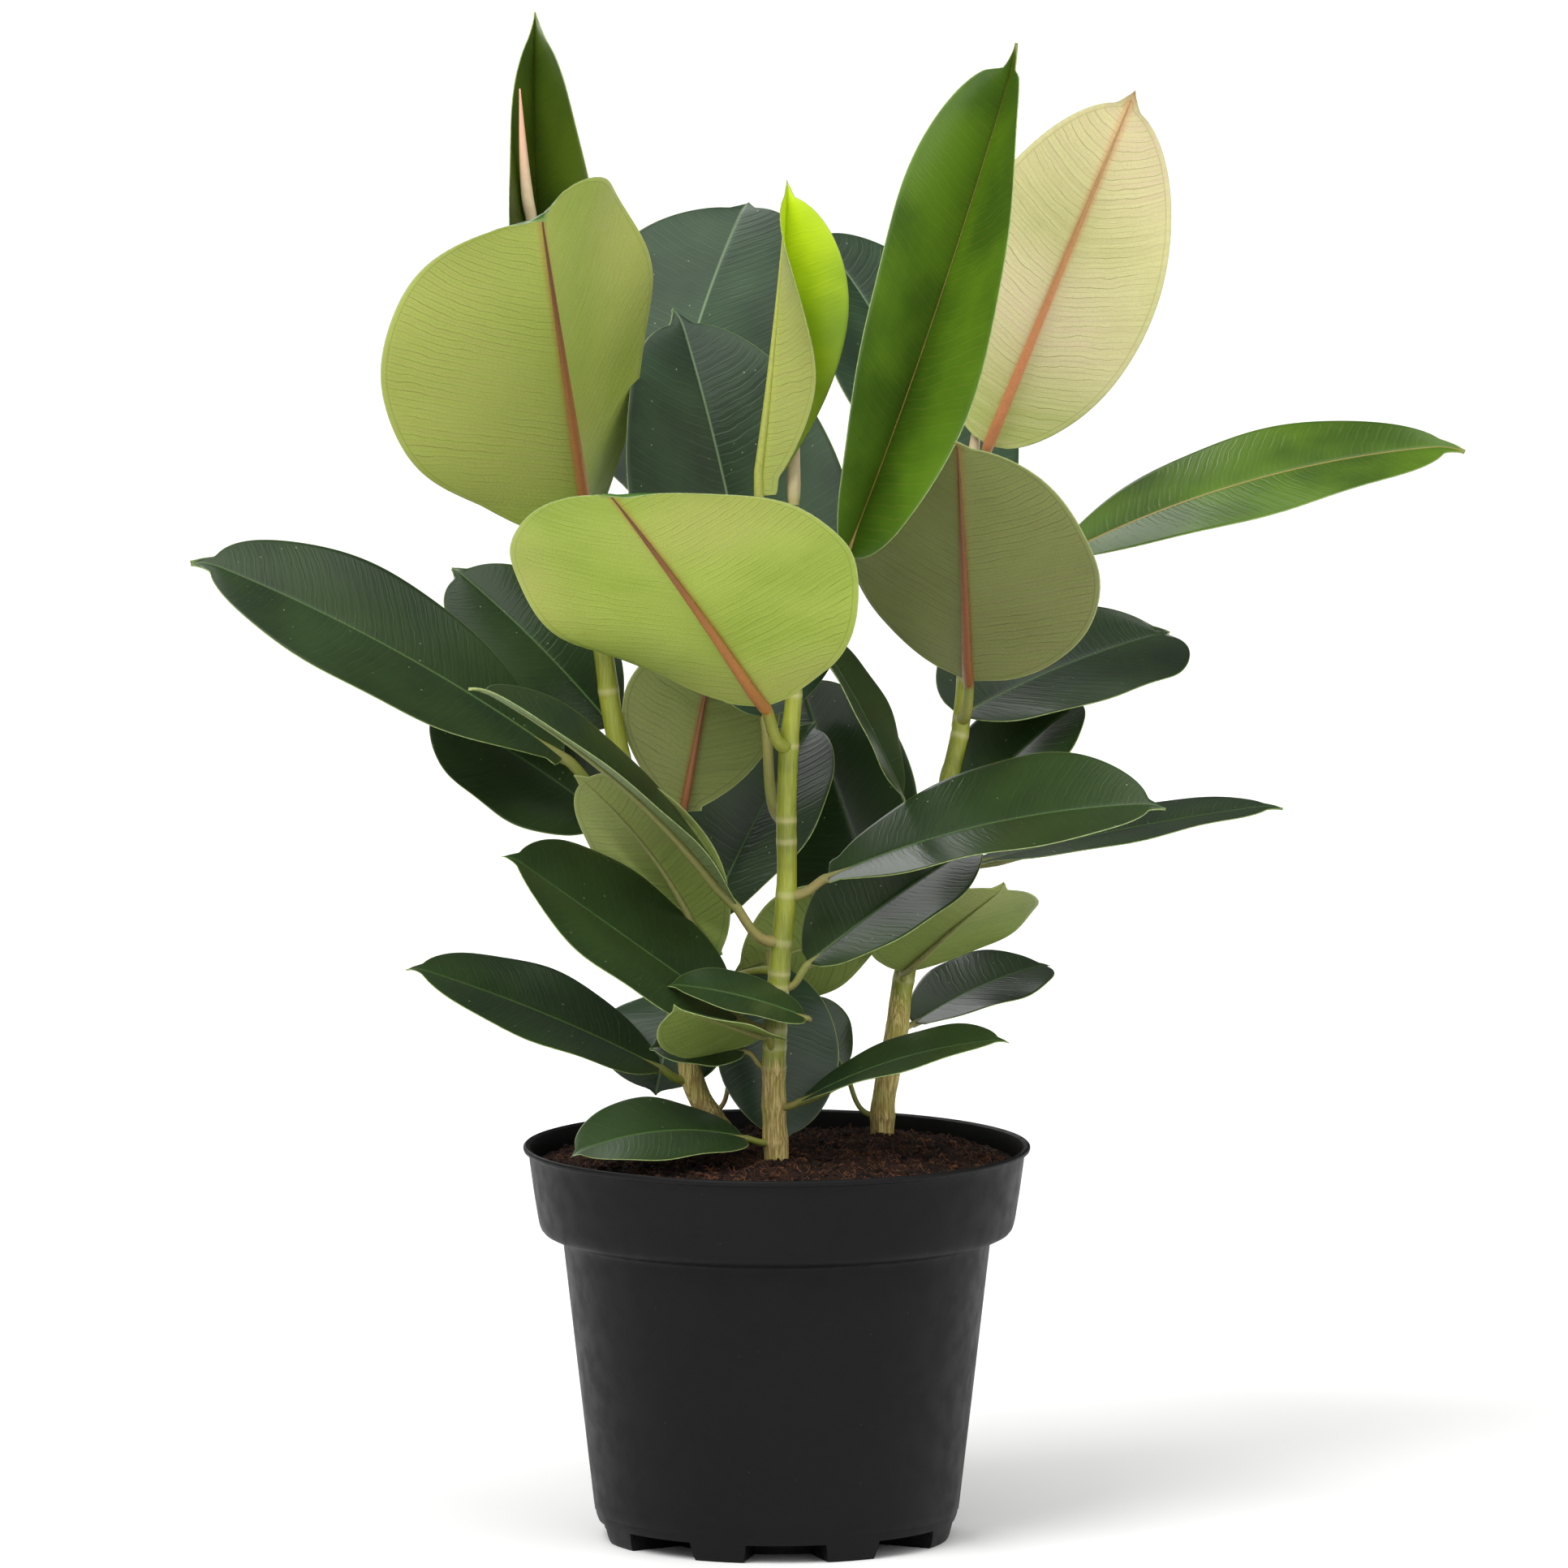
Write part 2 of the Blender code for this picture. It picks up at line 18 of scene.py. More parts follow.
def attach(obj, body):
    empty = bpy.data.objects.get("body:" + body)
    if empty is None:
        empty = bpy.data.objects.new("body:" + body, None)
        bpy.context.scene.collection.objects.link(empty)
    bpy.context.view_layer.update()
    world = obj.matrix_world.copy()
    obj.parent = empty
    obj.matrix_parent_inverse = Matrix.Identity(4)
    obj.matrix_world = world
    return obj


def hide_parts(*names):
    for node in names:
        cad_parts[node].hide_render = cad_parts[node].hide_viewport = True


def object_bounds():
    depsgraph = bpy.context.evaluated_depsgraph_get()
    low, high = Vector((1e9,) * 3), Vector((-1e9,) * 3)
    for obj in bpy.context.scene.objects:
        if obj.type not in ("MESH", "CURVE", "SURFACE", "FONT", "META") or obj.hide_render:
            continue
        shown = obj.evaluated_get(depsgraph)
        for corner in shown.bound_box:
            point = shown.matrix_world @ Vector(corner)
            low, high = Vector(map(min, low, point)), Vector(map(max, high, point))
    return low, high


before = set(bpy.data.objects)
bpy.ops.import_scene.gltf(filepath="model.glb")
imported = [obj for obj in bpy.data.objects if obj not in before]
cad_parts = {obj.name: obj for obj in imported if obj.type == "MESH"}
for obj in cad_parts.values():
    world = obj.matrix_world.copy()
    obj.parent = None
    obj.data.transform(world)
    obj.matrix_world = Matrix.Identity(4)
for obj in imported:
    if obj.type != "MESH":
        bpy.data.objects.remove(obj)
CAD_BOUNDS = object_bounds()

bl_info = {
    "name": "Potted Rubber Plant",
    "version": (1, 0, 0),
    "blender": (4, 5, 0),
    "location": "View3D > Sidebar > Rubber Plant",
    "description": "Builds the leaves, stems, peat, pot and studio of a potted rubber plant",
    "category": "Object",
}

MM = 0.001
BODY = "root"

# Leaves grow as in the part: joint height, stalk and chord as (azimuth, elevation, length), width, roll,
# fold, bend, sweep, twist, peak, fullness and foot_fold. The last two entries are the finish and the tip's
# hook. Each stem's rows run from the pot upwards.
Leaf = namedtuple(
    "Leaf",
    "name height petiole chord width roll fold bend sweep twist peak fullness foot_fold finish hook",
)
LEAF_ROWS = {
    "stem_front": (
        (166, (212, 10, 15), (203, -2, 79), 52, -20, 6, 40, 0, 0, 1.00, 0.48, 0, "old", 25),
        (181, (333, 13, 13), (345, 18, 93), 48, 14, 8, 26, 0, 0, 1.15, 0.55, 0, "old", 20),
        (197, (184, 30, 14), (188, 3, 40), 34, -26, 8, 20, 0, 0, 1.05, 0.52, 0, "old", 20),
        (206, (250, 29, 12), (231, 17, 63), 54, 15, -18, 0, 0, 0, 1.00, 0.45, 0, "grown", -30),
        (213, (186, 20, 17), (196, 36, 123), 86, -32, 8, 0, 0, 0, 1.00, 0.52, 0, "old", 30),
        (221, (311, -3, 18), (194, 15, 61), 34, -25, 8, 20, 0, 0, 0.90, 0.50, 0, "old", 20),
        (226, (95, 12, 42), (284, -71, 76), 52, 0, 5, 10, 0, 0, 1.00, 0.50, 0, "dusty", 15),
        (231, (358, 38, 16), (19, 32, 92), 66, 22, 12, 12, 0, 0, 1.05, 0.52, 0, "old", 20),
        (237, (131, 1, 44), (205, 53, 102), 54, 38, 8, 6, -30, 0, 1.25, 0.48, 0, "grown", 15),
        (250, (207, 38, 28), (199, 40, 149), 66, -14, 14, 26, 0, 0, 1.20, 0.50, 0, "old", 25),
        (270, (350, 23, 19), (354, 13, 144), 82, 22, 12, 26, 0, 0, 1.30, 0.50, 0, "old", 20),
        (301, (116, 64, 45), (122, 67, 180), 107, 0, 12, 18, 0, 0, 1.00, 0.48, 0, "dusty", 25),
        (332, (233, 47, 24), (247, 33, 200), 140, 12, 10, 6, 0, 0, 1.10, 0.50, 0, "bright", 30),
        (372, (65, 7, 22), (21, -61, 82), 56, 30, 10, 10, 0, 0, 1.05, 0.52, 0, "old", 15),
        (382, (317, 47, 41), (35, 67, 225), 84, 50, 54, 8, 6, -40, 1.00, 0.45, 0, "fresh", -35),
        (425, (196, 36, 18), (0, 85, 131), 58, 147, 50, 4, 0, -64, 1.50, 0.50, 34, "newest", 10),
    ),
    "stem_left": (
        (172, (344, 58, 15), (12, 75, 32), 30, 0, 8, 10, 0, 0, 1.05, 0.52, 0, "old", 10),
        (188, (204, 17, 15), (188, 23, 115), 64, -24, 8, 12, 0, 0, 1.00, 0.55, 0, "old", 30),
        (212, (87, 11, 34), (238, -62, 46), 66, 0, 8, 15, 0, 0, 1.00, 0.50, 0, "dusty", 10),
        (238, (42, 26, 27), (49, 49, 104), 78, 0, 12, 15, 0, 0, 1.05, 0.52, 0, "old", 15),
        (270, (7, 62, 32), (356, 79, 81), 66, -78, 8, 10, 0, 0, 1.15, 0.60, 0, "mature", 10),
        (278, (143, 41, 24), (172, 32, 90), 84, -32, 8, 12, 0, 0, 1.00, 0.50, 0, "old", 10),
        (304, (207, 32, 36), (187, 29, 177), 84, -33, 7, 18, 0, 0, 1.35, 0.50, 0, "old", 30),
        (321, (107, 42, 17), (153, 40, 98), 72, -22, 8, 15, 0, 0, 1.20, 0.50, 0, "old", 15),
        (396, (266, 53, 23), (263, 46, 215), 150, 38, 34, 0, 0, 0, 1.00, 0.50, 0, "bright", 45),
        (402, (44, 33, 44), (73, 40, 177), 104, 0, 12, 25, 0, 0, 1.05, 0.52, 0, "dusty", 20),
        (447, (120, 62, 20), (116, 82, 166), 66, -12, 58, 4, -14, 0, 0.85, 0.62, 0, "olive", 15),
    ),
    "stem_right": (
        (167, (178, 51, 26), (186, 58, 36), 28, -50, 15, 10, 0, 0, 1.05, 0.52, 0, "old", 10),
        (205, (48, 0, 10), (31, 17, 70), 56, 10, 8, 22, 0, 0, 1.30, 0.45, 0, "old", 10),
        (224, (269, 28, 9), (305, 31, 85), 74, -8, 10, 5, 0, 0, 1.10, 0.50, 0, "grown", -25),
        (243, (238, 14, 24), (191, -15, 66), 60, 60, 8, 10, 0, 0, 1.05, 0.52, 0, "grown", 10),
        (247, (129, 11, 23), (135, 63, 106), 80, -70, 15, 12, 0, 0, 1.00, 0.50, 0, "old", 10),
        (265, (19, 16, 23), (7, 10, 132), 62, 6, 6, 8, 0, 0, 1.20, 0.60, 0, "old", 20),
        (278, (40, 42, 15), (28, 38, 80), 60, 14, 12, 15, 0, 0, 1.05, 0.52, 0, "old", 20),
        (325, (87, 25, 15), (40, 13, 119), 98, 14, 10, 15, 0, 0, 1.10, 0.42, 0, "old", 15),
        (332, (284, 55, 21), (267, 45, 162), 112, -14, 13, 4, 0, 0, 0.85, 0.48, 0, "mature", 20),
        (367, (4, 43, 42), (7, 15, 185), 78, 19, 6, 28, 0, 0, 1.30, 0.60, 0, "fresh", 25),
        (388, (104, 41, 18), (137, 56, 160), 100, 0, 10, 15, 30, 0, 1.05, 0.52, 0, "dusty", 20),
        (428, (315, 64, 20), (324, 64, 171), 86, -60, 10, 5, 0, 0, 0.90, 0.55, 0, "cream", 20),
    ),
}


def name_leaves(stem, rows):
    """Names a stem's rows leaf_front_01, leaf_front_02 and so on."""
    start = stem.replace("stem", "leaf")
    return tuple(Leaf(f"{start}_{number:02d}", *row) for number, row in enumerate(rows, 1))


LEAVES = {stem: name_leaves(stem, rows) for stem, rows in LEAF_ROWS.items()}

# Stems and sheaths, as (x, y, z, radius) from foot to tip.
STEMS = {
    "stem_front": (
        (0, -6, 125, 5.2), (0, -6, 156, 5.2), (-1, -6, 175, 5.0), (-1, -8, 202, 4.8), (1, -10, 237, 4.4),
        (4, -12, 272, 4.2), (4, -12, 303, 4.1), (5, -12, 332, 4.0), (7, -12, 353, 3.4), (8, -11, 392, 3.0),
        (7, -10, 431, 2.4),
    ),
    "stem_left": (
        (-22, 30, 125, 5.1), (-22, 30, 160, 5.1), (-26, 30, 169, 5.0), (-32, 31, 179, 4.8),
        (-36, 31, 190, 4.6), (-38, 31, 200, 4.5), (-53, 33, 266, 4.2), (-67, 34, 332, 4.2),
        (-72, 34, 366, 4.1), (-79, 34, 407, 3.6), (-90, 34, 478, 3.0), (-101, 34, 538, 2.3),
    ),
    "stem_right": (
        (44, 60, 125, 5.0), (44, 60, 163, 5.0), (45, 60, 177, 4.9), (50, 60, 203, 4.7), (53, 64, 225, 4.4),
        (64, 70, 276, 4.0), (75, 76, 320, 3.7), (77, 78, 332, 3.6), (80, 82, 367, 3.4), (81, 86, 401, 3.0),
        (82, 88, 434, 2.4),
    ),
}
SHEATHS = {
    "sheath_front": (
        (7, -10, 431.5, 2.2), (7, -10, 438, 2.8), (7, -10, 452, 2.6), (7, -10, 472, 2.0), (9, -10, 486, 1.4),
        (14, -10, 506, 0.3),
    ),
    "sheath_left": (
        (-101, 34, 538.5, 1.9), (-101.5, 33, 546, 2.4), (-103, 31, 555, 2.5), (-104.5, 29, 572, 1.8),
        (-106, 27, 600, 0.3),
    ),
    "sheath_right": ((82, 88, 434.5, 2.1), (82, 88, 441, 2.5), (83, 88, 452, 1.7), (84, 88, 466, 0.3)),
}
BARK_TOPS = {"stem_front": 204, "stem_left": 206, "stem_right": 222}
# Heights of the ring scars that fallen leaves left, besides those at the leaf joints.
OLD_SCARS = {"stem_front": (292, 353, 402), "stem_left": (256, 349, 378, 430, 500), "stem_right": (300, 348)}
STEM_SIDES = 28
SHEATH_SIDES = 24
# The ridge down a bud sheath: its height as a share of the radius, its place round the sheath and its width.
SHEATH_RIDGE = (0.13, 4.4, 0.35)

# The blade's build: thicknesses and half widths in mm, the rest as shares of the blade's length or width.
COLUMN_SHARES = (0, 0.014, 0.035, 0.07, 0.13, 0.22, 0.34, 0.47, 0.6, 0.73, 0.85, 0.94, 1.0)
ROWS_PER_VEIN = 4
VEIN_PITCH = 4.6
FEWEST_VEINS = 11
BLADE_THICKNESS = 0.55
RIM_REACH = 0.16
VEIN_SLANT = 0.42
BEAK_START = 0.95
BEAK_HALF_WIDTH = 0.8
BEAK_LENGTH = 0.085
BEAK_POINT = 0.12
BEAK_FLARE = 0.105
NEEDLE_SHARE = 0.3
HOOK_START = 0.93
RIB_GROOVE = 0.22
RIB_GROOVE_HALF_WIDTH = 0.8
MARGIN_DROOP = 0.035
SWING = 0.011
BRIGHT_SWING = 0.019
STALK_STEPS = 15
RIB_STEPS = 46
STALK_SIDES = 12
BOX_MARGIN = 0.05  # how far inside the part's box a leaf stays, in mm
FIXED_SHARE = 0.05  # of a blade, from its foot: points there don't decide how far its end is drawn in

# The pot and the peat, in millimetres.
POT_SEGMENTS = 192
POT_OUTSIDE = (
    (103.3, 163.6), (103.9, 163.95), (104.5, 163.8), (104.95, 163.3), (105.0, 162.6), (104.7, 161.8),
    (104.0, 161.3), (103.0, 161.0), (102.6, 160.2), (102.3, 157.0), (100.8, 146.0), (98.9, 134.0),
    (98.3, 131.2), (97.6, 129.4), (96.4, 128.0), (94.6, 127.1), (91.8, 126.4), (90.0, 125.8), (89.1, 125.2),
    (88.6, 124.0), (88.3, 122.0), (82.3, 70.0), (76.0, 16.0), (75.5, 12.2), (75.0, 11.5), (74.9, 10.9),
    (74.9, 10.2), (73.9, 7.5), (72.9, 3.2), (72.2, 1.1), (71.3, 0.0),
)
POT_INSIDE = (
    (70.4, 1.5), (71.4, 4.0), (74.4, 16.0), (80.8, 70.0), (86.9, 122.5), (87.4, 125.6), (89.4, 127.0),
    (93.6, 128.3), (96.1, 129.8), (97.0, 132.0), (99.2, 146.0), (101.0, 158.0), (101.5, 161.6),
    (102.3, 163.2),
)
POCKETS = 8
POCKET_TURN = 3.0
POCKET_HALF_ANGLE = 14.0
POCKET_INNER = 48.0
POCKET_HEIGHT = 7.7
POCKET_WALL = 1.4  # of the plastic round a pocket
POCKET_ROOM = 1.8  # that the peat leaves for a pocket and its wall
DRAIN_CIRCLE = 58.0
DRAIN_RADIUS = 4.0
SOIL_TOP = 159.8
SOIL_EDGE = 99.0
SOIL_RINGS = 92
SOIL_SECTORS = 300
# The peat's sides and bottom, as (radius, height), inside the pot.
PEAT_SIDES = ((96.3, 133.0), (86.6, 126.0), (73.9, 15.0), (70.0, 2.0))
PEAT_REACH = 97.0
LARGEST_CRUMB = 3.0
CRUMB_TINTS = (0, 0, 0.05, 0.12, 0.3, 0.6)
FIBRE_SIDES = 5
FIBRE_RINGS = 8
FIBRE_REACH = 97.5

# The studio: sun lamps as name, place, strength and spread in degrees.
SUNS = (
    ("key_sky", (-1.2, -1.5, 2.1), 2.1, 34),
    ("fill_sky", (2.0, -1.6, 1.3), 0.60, 60),
    ("top_sky", (0.3, -0.2, 2.2), 1.3, 70),
)
SOFTBOX_PLACE = (-0.9, 2.0, 1.6)
SOFTBOX_SIZE = (1.1, 1.6)
SOFTBOX_POWER = 12
FLOOR_RADIUS = 40.0
SENSOR_WIDTH = 36.0
SIGHT_CENTRE = (0.003, 0.0, 0.3143)


# ----------------------------------------------------------------------------------------------------
# Node graphs


def fill(tree, socket, value):
    """Links another socket to this one, or sets it to a plain value."""
    if isinstance(value, bpy.types.NodeSocket):
        tree.links.new(value, socket)
    else:
        socket.default_value = value


def put(tree, kind, values=None, **settings):
    """Adds a node, sets its settings, and fills its inputs, which are named or numbered in values."""
    node = tree.nodes.new(kind)
    for key, value in settings.items():
        setattr(node, key, value)
    for key, value in (values or {}).items():
        fill(tree, node.inputs[key], value)
    return node


def maths(tree, operation, first, second=0.0):
    return put(tree, "ShaderNodeMath", {0: first, 1: second}, operation=operation).outputs[0]


def span(tree, value, low, high, to_low=0.0, to_high=1.0, smooth=True):
    """Maps value from low..high to to_low..to_high, clamped."""
    values = {"Value": value, "From Min": low, "From Max": high, "To Min": to_low, "To Max": to_high}
    kind = "SMOOTHSTEP" if smooth else "LINEAR"
    return put(tree, "ShaderNodeMapRange", values, interpolation_type=kind).outputs[0]


def ranged(tree, mask, low, high):
    """Turns a mask from 0 to 1 into an even range."""
    return span(tree, mask, 0.0, 1.0, low, high, smooth=False)


def blend(tree, share, first, second):
    """Mixes two colours by a mask from 0 to 1."""
    node = put(tree, "ShaderNodeMix", data_type="RGBA")
    fill(tree, node.inputs[0], share)
    for number, colour in ((6, first), (7, second)):
        linked = isinstance(colour, bpy.types.NodeSocket)
        fill(tree, node.inputs[number], colour if linked else (*colour[:3], 1.0))
    return node.outputs[2]


def tinge(tree, mask, share, colour, tone):
    """Mixes a tone into a colour by a share of a mask."""
    return blend(tree, maths(tree, "MULTIPLY", mask, share), colour, tone)


def attribute(tree, name):
    return put(tree, "ShaderNodeAttribute", attribute_name=name).outputs["Fac"]


def make_group(name, inputs, outputs, build):
    """A shader node group with named sockets. build(tree, inputs) returns the outputs by name."""
    tree = bpy.data.node_groups.new(name, "ShaderNodeTree")
    for title, default in inputs.items():
        socket = tree.interface.new_socket(title, in_out="INPUT", socket_type="NodeSocketFloat")
        socket.default_value = default
    for title in outputs:
        tree.interface.new_socket(title, in_out="OUTPUT", socket_type="NodeSocketFloat")
    start = tree.nodes.new("NodeGroupInput")
    end = tree.nodes.new("NodeGroupOutput")
    made = build(tree, {title: start.outputs[title] for title in inputs})
    for title in outputs:
        tree.links.new(made[title], end.inputs[title])
    return tree


def place_of(tree, stretch=(1, 1, 1)):
    coordinate = put(tree, "ShaderNodeTexCoord").outputs["Object"]
    return put(tree, "ShaderNodeMapping", values={"Vector": coordinate, "Scale": stretch}).outputs[0]


MOTTLE_LAYERS = (("Tint", 0.5, 1.0), ("Patches", 1.0, 3.0), ("Grain", 9.0, 4.0), ("Fine", 60.0, 2.0))


def build_mottle(tree, given):
    """Soft patches, a middle grain and a fine grain over the surface, each from 0 to 1."""
    where = place_of(tree)
    outputs = {}
    for title, scale, detail in MOTTLE_LAYERS:
        size = maths(tree, "MULTIPLY", given["Scale"], scale)
        cloud = put(tree, "ShaderNodeTexNoise", values={"Vector": where, "Scale": size, "Detail": detail})
        outputs[title] = span(tree, cloud.outputs["Fac"], 0.3, 0.7)
    return outputs


def build_veins(tree, given):
    """Side veins, the fine net between them, and the join of the veins near the margin."""
    stray = put(tree, "ShaderNodeTexNoise", values={"Vector": place_of(tree), "Scale": 75.0, "Detail": 2.0})
    stray = maths(tree, "MULTIPLY", maths(tree, "SUBTRACT", stray.outputs["Fac"], 0.5), 0.95)
    phase = maths(tree, "FRACT", maths(tree, "ADD", attribute(tree, "vein"), stray))
    distance = maths(tree, "ABSOLUTE", maths(tree, "SUBTRACT", phase, 0.5))
    line = span(tree, distance, maths(tree, "SUBTRACT", 0.5, given["Line Width"]), 0.5)
    away = span(tree, attribute(tree, "edge_gap"), 0.0012, 0.0035)
    fresh = put(tree, "ShaderNodeTexNoise", values={"Vector": place_of(tree), "Scale": 38.0, "Detail": 1.0})
    line = maths(tree, "MULTIPLY", line, span(tree, fresh.outputs["Fac"], 0.30, 0.62, 0.30, 1.0))
    line = maths(tree, "MULTIPLY", line, away)
    second = span(tree, distance, 0.07, 0.0)
    second = maths(tree, "MULTIPLY", second, maths(tree, "MULTIPLY", away, 0.35))
    loop = maths(tree, "ABSOLUTE", maths(tree, "SUBTRACT", attribute(tree, "edge_gap"), 0.0022))
    loop = span(tree, loop, 0.0005, 0.0)
    net = put(
        tree, "ShaderNodeTexVoronoi", feature="DISTANCE_TO_EDGE",
        values={"Vector": place_of(tree), "Scale": given["Net Scale"], "Randomness": 1.0},
    )
    mesh = span(tree, net.outputs["Distance"], 0.10, 0.0)
    return {"Side Veins": maths(tree, "MAXIMUM", line, second), "Margin Vein": loop, "Net": mesh}


def build_specks(tree, given):
    """Small scattered dots."""
    cells = put(
        tree, "ShaderNodeTexVoronoi",
        values={"Vector": place_of(tree), "Scale": given["Scale"], "Randomness": 1.0},
    )
    chance = put(tree, "ShaderNodeSeparateColor", values={0: cells.outputs["Color"]}).outputs[0]
    dot = span(tree, cells.outputs["Distance"], given["Size"], 0.05)
    return {"Dots": maths(tree, "MULTIPLY", dot, maths(tree, "LESS_THAN", chance, given["Share"]))}


GROUPS = (
    ("Plant Mottle", {"Scale": 30.0}, ("Tint", "Patches", "Grain", "Fine"), build_mottle),
    (
        "Leaf Veins", {"Line Width": 0.09, "Net Scale": 900.0},
        ("Side Veins", "Margin Vein", "Net"), build_veins,
    ),
    ("Pale Specks", {"Scale": 330.0, "Size": 0.12, "Share": 0.4}, ("Dots",), build_specks),
)


def use_group(tree, name, **values):
    for title, inputs, outputs, build in GROUPS:
        if title == name and title not in bpy.data.node_groups:
            make_group(title, inputs, outputs, build)
    node = put(tree, "ShaderNodeGroup", node_tree=bpy.data.node_groups[name])
    for key, value in values.items():
        node.inputs[key.replace("_", " ")].default_value = value
    return node.outputs


def new_material(name, roughness=0.5, **sockets):
    """A material with an empty graph but for its Principled shader. Returns (material, tree, shader)."""
    material = bpy.data.materials.new(name)
    material.use_nodes = True
    tree = material.node_tree
    shader = tree.nodes["Principled BSDF"]
    shader.inputs["Roughness"].default_value = roughness
    for key, value in sockets.items():
        shader.inputs[key.replace("_", " ")].default_value = value
    return material, tree, shader


def feed(tree, shader, colour, roughness=None, height=None, depth=0.0002):
    """Links a colour, a roughness and a bump, whose full height is depth in metres, to the shader."""
    tree.links.new(colour, shader.inputs["Base Color"])
    if roughness is not None:
        tree.links.new(roughness, shader.inputs["Roughness"])
    if height is not None:
        bump = put(tree, "ShaderNodeBump", values={"Distance": depth, "Height": height})
        tree.links.new(bump.outputs["Normal"], shader.inputs["Normal"])


# ----------------------------------------------------------------------------------------------------
# Leaf finishes

# Each finish: upper dark, upper light, upper midrib, under dark, under light, under vein, midrib at the foot,
# midrib at the tip, stalk, and the roughness above. Colours are linear RGB.
LEAF_FINISHES = {
    "old": (
        (0.012, 0.027, 0.008), (0.022, 0.046, 0.012), (0.075, 0.14, 0.04), (0.10, 0.16, 0.05),
        (0.15, 0.22, 0.07), (0.07, 0.10, 0.035), (0.20, 0.21, 0.05), (0.16, 0.21, 0.06), (0.26, 0.21, 0.07),
        0.30,
    ),
    # This finish's upper dark and light are lighter and bluer than the old finish: a painted grey-teal
    # reflection of the bright surroundings. Its midrib, underside, stalk and roughness are the leaf's own.
    "dusty": (
        (0.012, 0.028, 0.012), (0.028, 0.062, 0.025), (0.20, 0.30, 0.15), (0.10, 0.16, 0.06),
        (0.15, 0.22, 0.08), (0.07, 0.10, 0.04), (0.20, 0.21, 0.05), (0.16, 0.21, 0.06), (0.26, 0.22, 0.07),
        0.36,
    ),
    "grown": (
        (0.009, 0.022, 0.006), (0.022, 0.052, 0.012), (0.09, 0.16, 0.05), (0.15, 0.21, 0.042),
        (0.23, 0.30, 0.070), (0.095, 0.13, 0.035), (0.26, 0.27, 0.08), (0.22, 0.28, 0.07), (0.25, 0.24, 0.05),
        0.32,
    ),
    "mature": (
        (0.010, 0.026, 0.008), (0.022, 0.055, 0.015), (0.09, 0.15, 0.05), (0.135, 0.165, 0.040),
        (0.215, 0.260, 0.072), (0.085, 0.095, 0.028), (0.27, 0.085, 0.022), (0.15, 0.055, 0.018),
        (0.24, 0.25, 0.045),
        0.34,
    ),
    "bright": (
        (0.020, 0.060, 0.008), (0.050, 0.130, 0.014), (0.16, 0.22, 0.05), (0.26, 0.36, 0.045),
        (0.37, 0.46, 0.085), (0.17, 0.24, 0.035), (0.42, 0.16, 0.035), (0.13, 0.035, 0.012),
        (0.33, 0.34, 0.03), 0.33,
    ),
    "fresh": (
        (0.034, 0.080, 0.003), (0.078, 0.160, 0.005), (0.36, 0.25, 0.07), (0.20, 0.30, 0.05),
        (0.32, 0.42, 0.10), (0.14, 0.21, 0.04), (0.34, 0.20, 0.06), (0.22, 0.13, 0.05), (0.30, 0.25, 0.05),
        0.30,
    ),
    "olive": (
        (0.028, 0.054, 0.003), (0.060, 0.100, 0.005), (0.13, 0.15, 0.02), (0.26, 0.27, 0.09),
        (0.38, 0.38, 0.16), (0.18, 0.18, 0.05), (0.38, 0.30, 0.10), (0.30, 0.24, 0.08), (0.34, 0.32, 0.08),
        0.30,
    ),
    "newest": (
        (0.20, 0.34, 0.002), (0.46, 0.62, 0.004), (0.50, 0.62, 0.08), (0.30, 0.38, 0.06),
        (0.42, 0.50, 0.12), (0.24, 0.30, 0.05), (0.48, 0.52, 0.10), (0.45, 0.50, 0.10), (0.40, 0.46, 0.06),
        0.34,
    ),
    "cream": (
        (0.030, 0.080, 0.012), (0.070, 0.160, 0.022), (0.20, 0.24, 0.07), (0.50, 0.52, 0.18),
        (0.70, 0.68, 0.33), (0.36, 0.36, 0.12), (0.66, 0.24, 0.09), (0.46, 0.28, 0.11), (0.38, 0.36, 0.08),
        0.34,
    ),
}


def upper_material(name, finish):
    dark, light, rib, *_, roughness = LEAF_FINISHES[finish]
    material, tree, shader = new_material(name, Specular_IOR_Level=0.42)
    mottle = use_group(tree, "Plant Mottle", Scale=22.0)
    veins = use_group(tree, "Leaf Veins", Line_Width=0.14, Net_Scale=700.0)
    # Upper dark to light by patches; in the grey-teal finish these colours carry a painted reflection of the
    # bright surroundings.
    colour = blend(tree, mottle["Patches"], dark, light)
    colour = tinge(tree, mottle["Grain"], 0.05, colour, light)
    colour = tinge(tree, veins["Side Veins"], 0.07, colour, rib)
    if finish in ("old", "dusty", "grown", "mature"):
        dots = use_group(tree, "Pale Specks", Scale=210.0, Size=0.09, Share=0.35)["Dots"]
        colour = tinge(tree, dots, 0.7, colour, (0.30, 0.36, 0.22))
    middle = span(tree, attribute(tree, "rib_gap"), 0.0009, 0.0003)
    fade = span(tree, attribute(tree, "along"), 0.0, 1.0, 1.0, 0.35, smooth=False)
    colour = blend(tree, maths(tree, "MULTIPLY", middle, fade), colour, rib)
    margin = span(tree, attribute(tree, "edge_gap"), 0.0004, 0.0001)
    colour = tinge(tree, margin, 0.5, colour, (0.24, 0.32, 0.10))
    rough = ranged(tree, mottle["Tint"], roughness - 0.03, roughness + 0.05)
    height = maths(tree, "MULTIPLY", veins["Side Veins"], -1.0)
    height = maths(tree, "ADD", height, maths(tree, "MULTIPLY", mottle["Tint"], 1.2))
    feed(tree, shader, colour, rough, height, depth=0.00006)
    return material


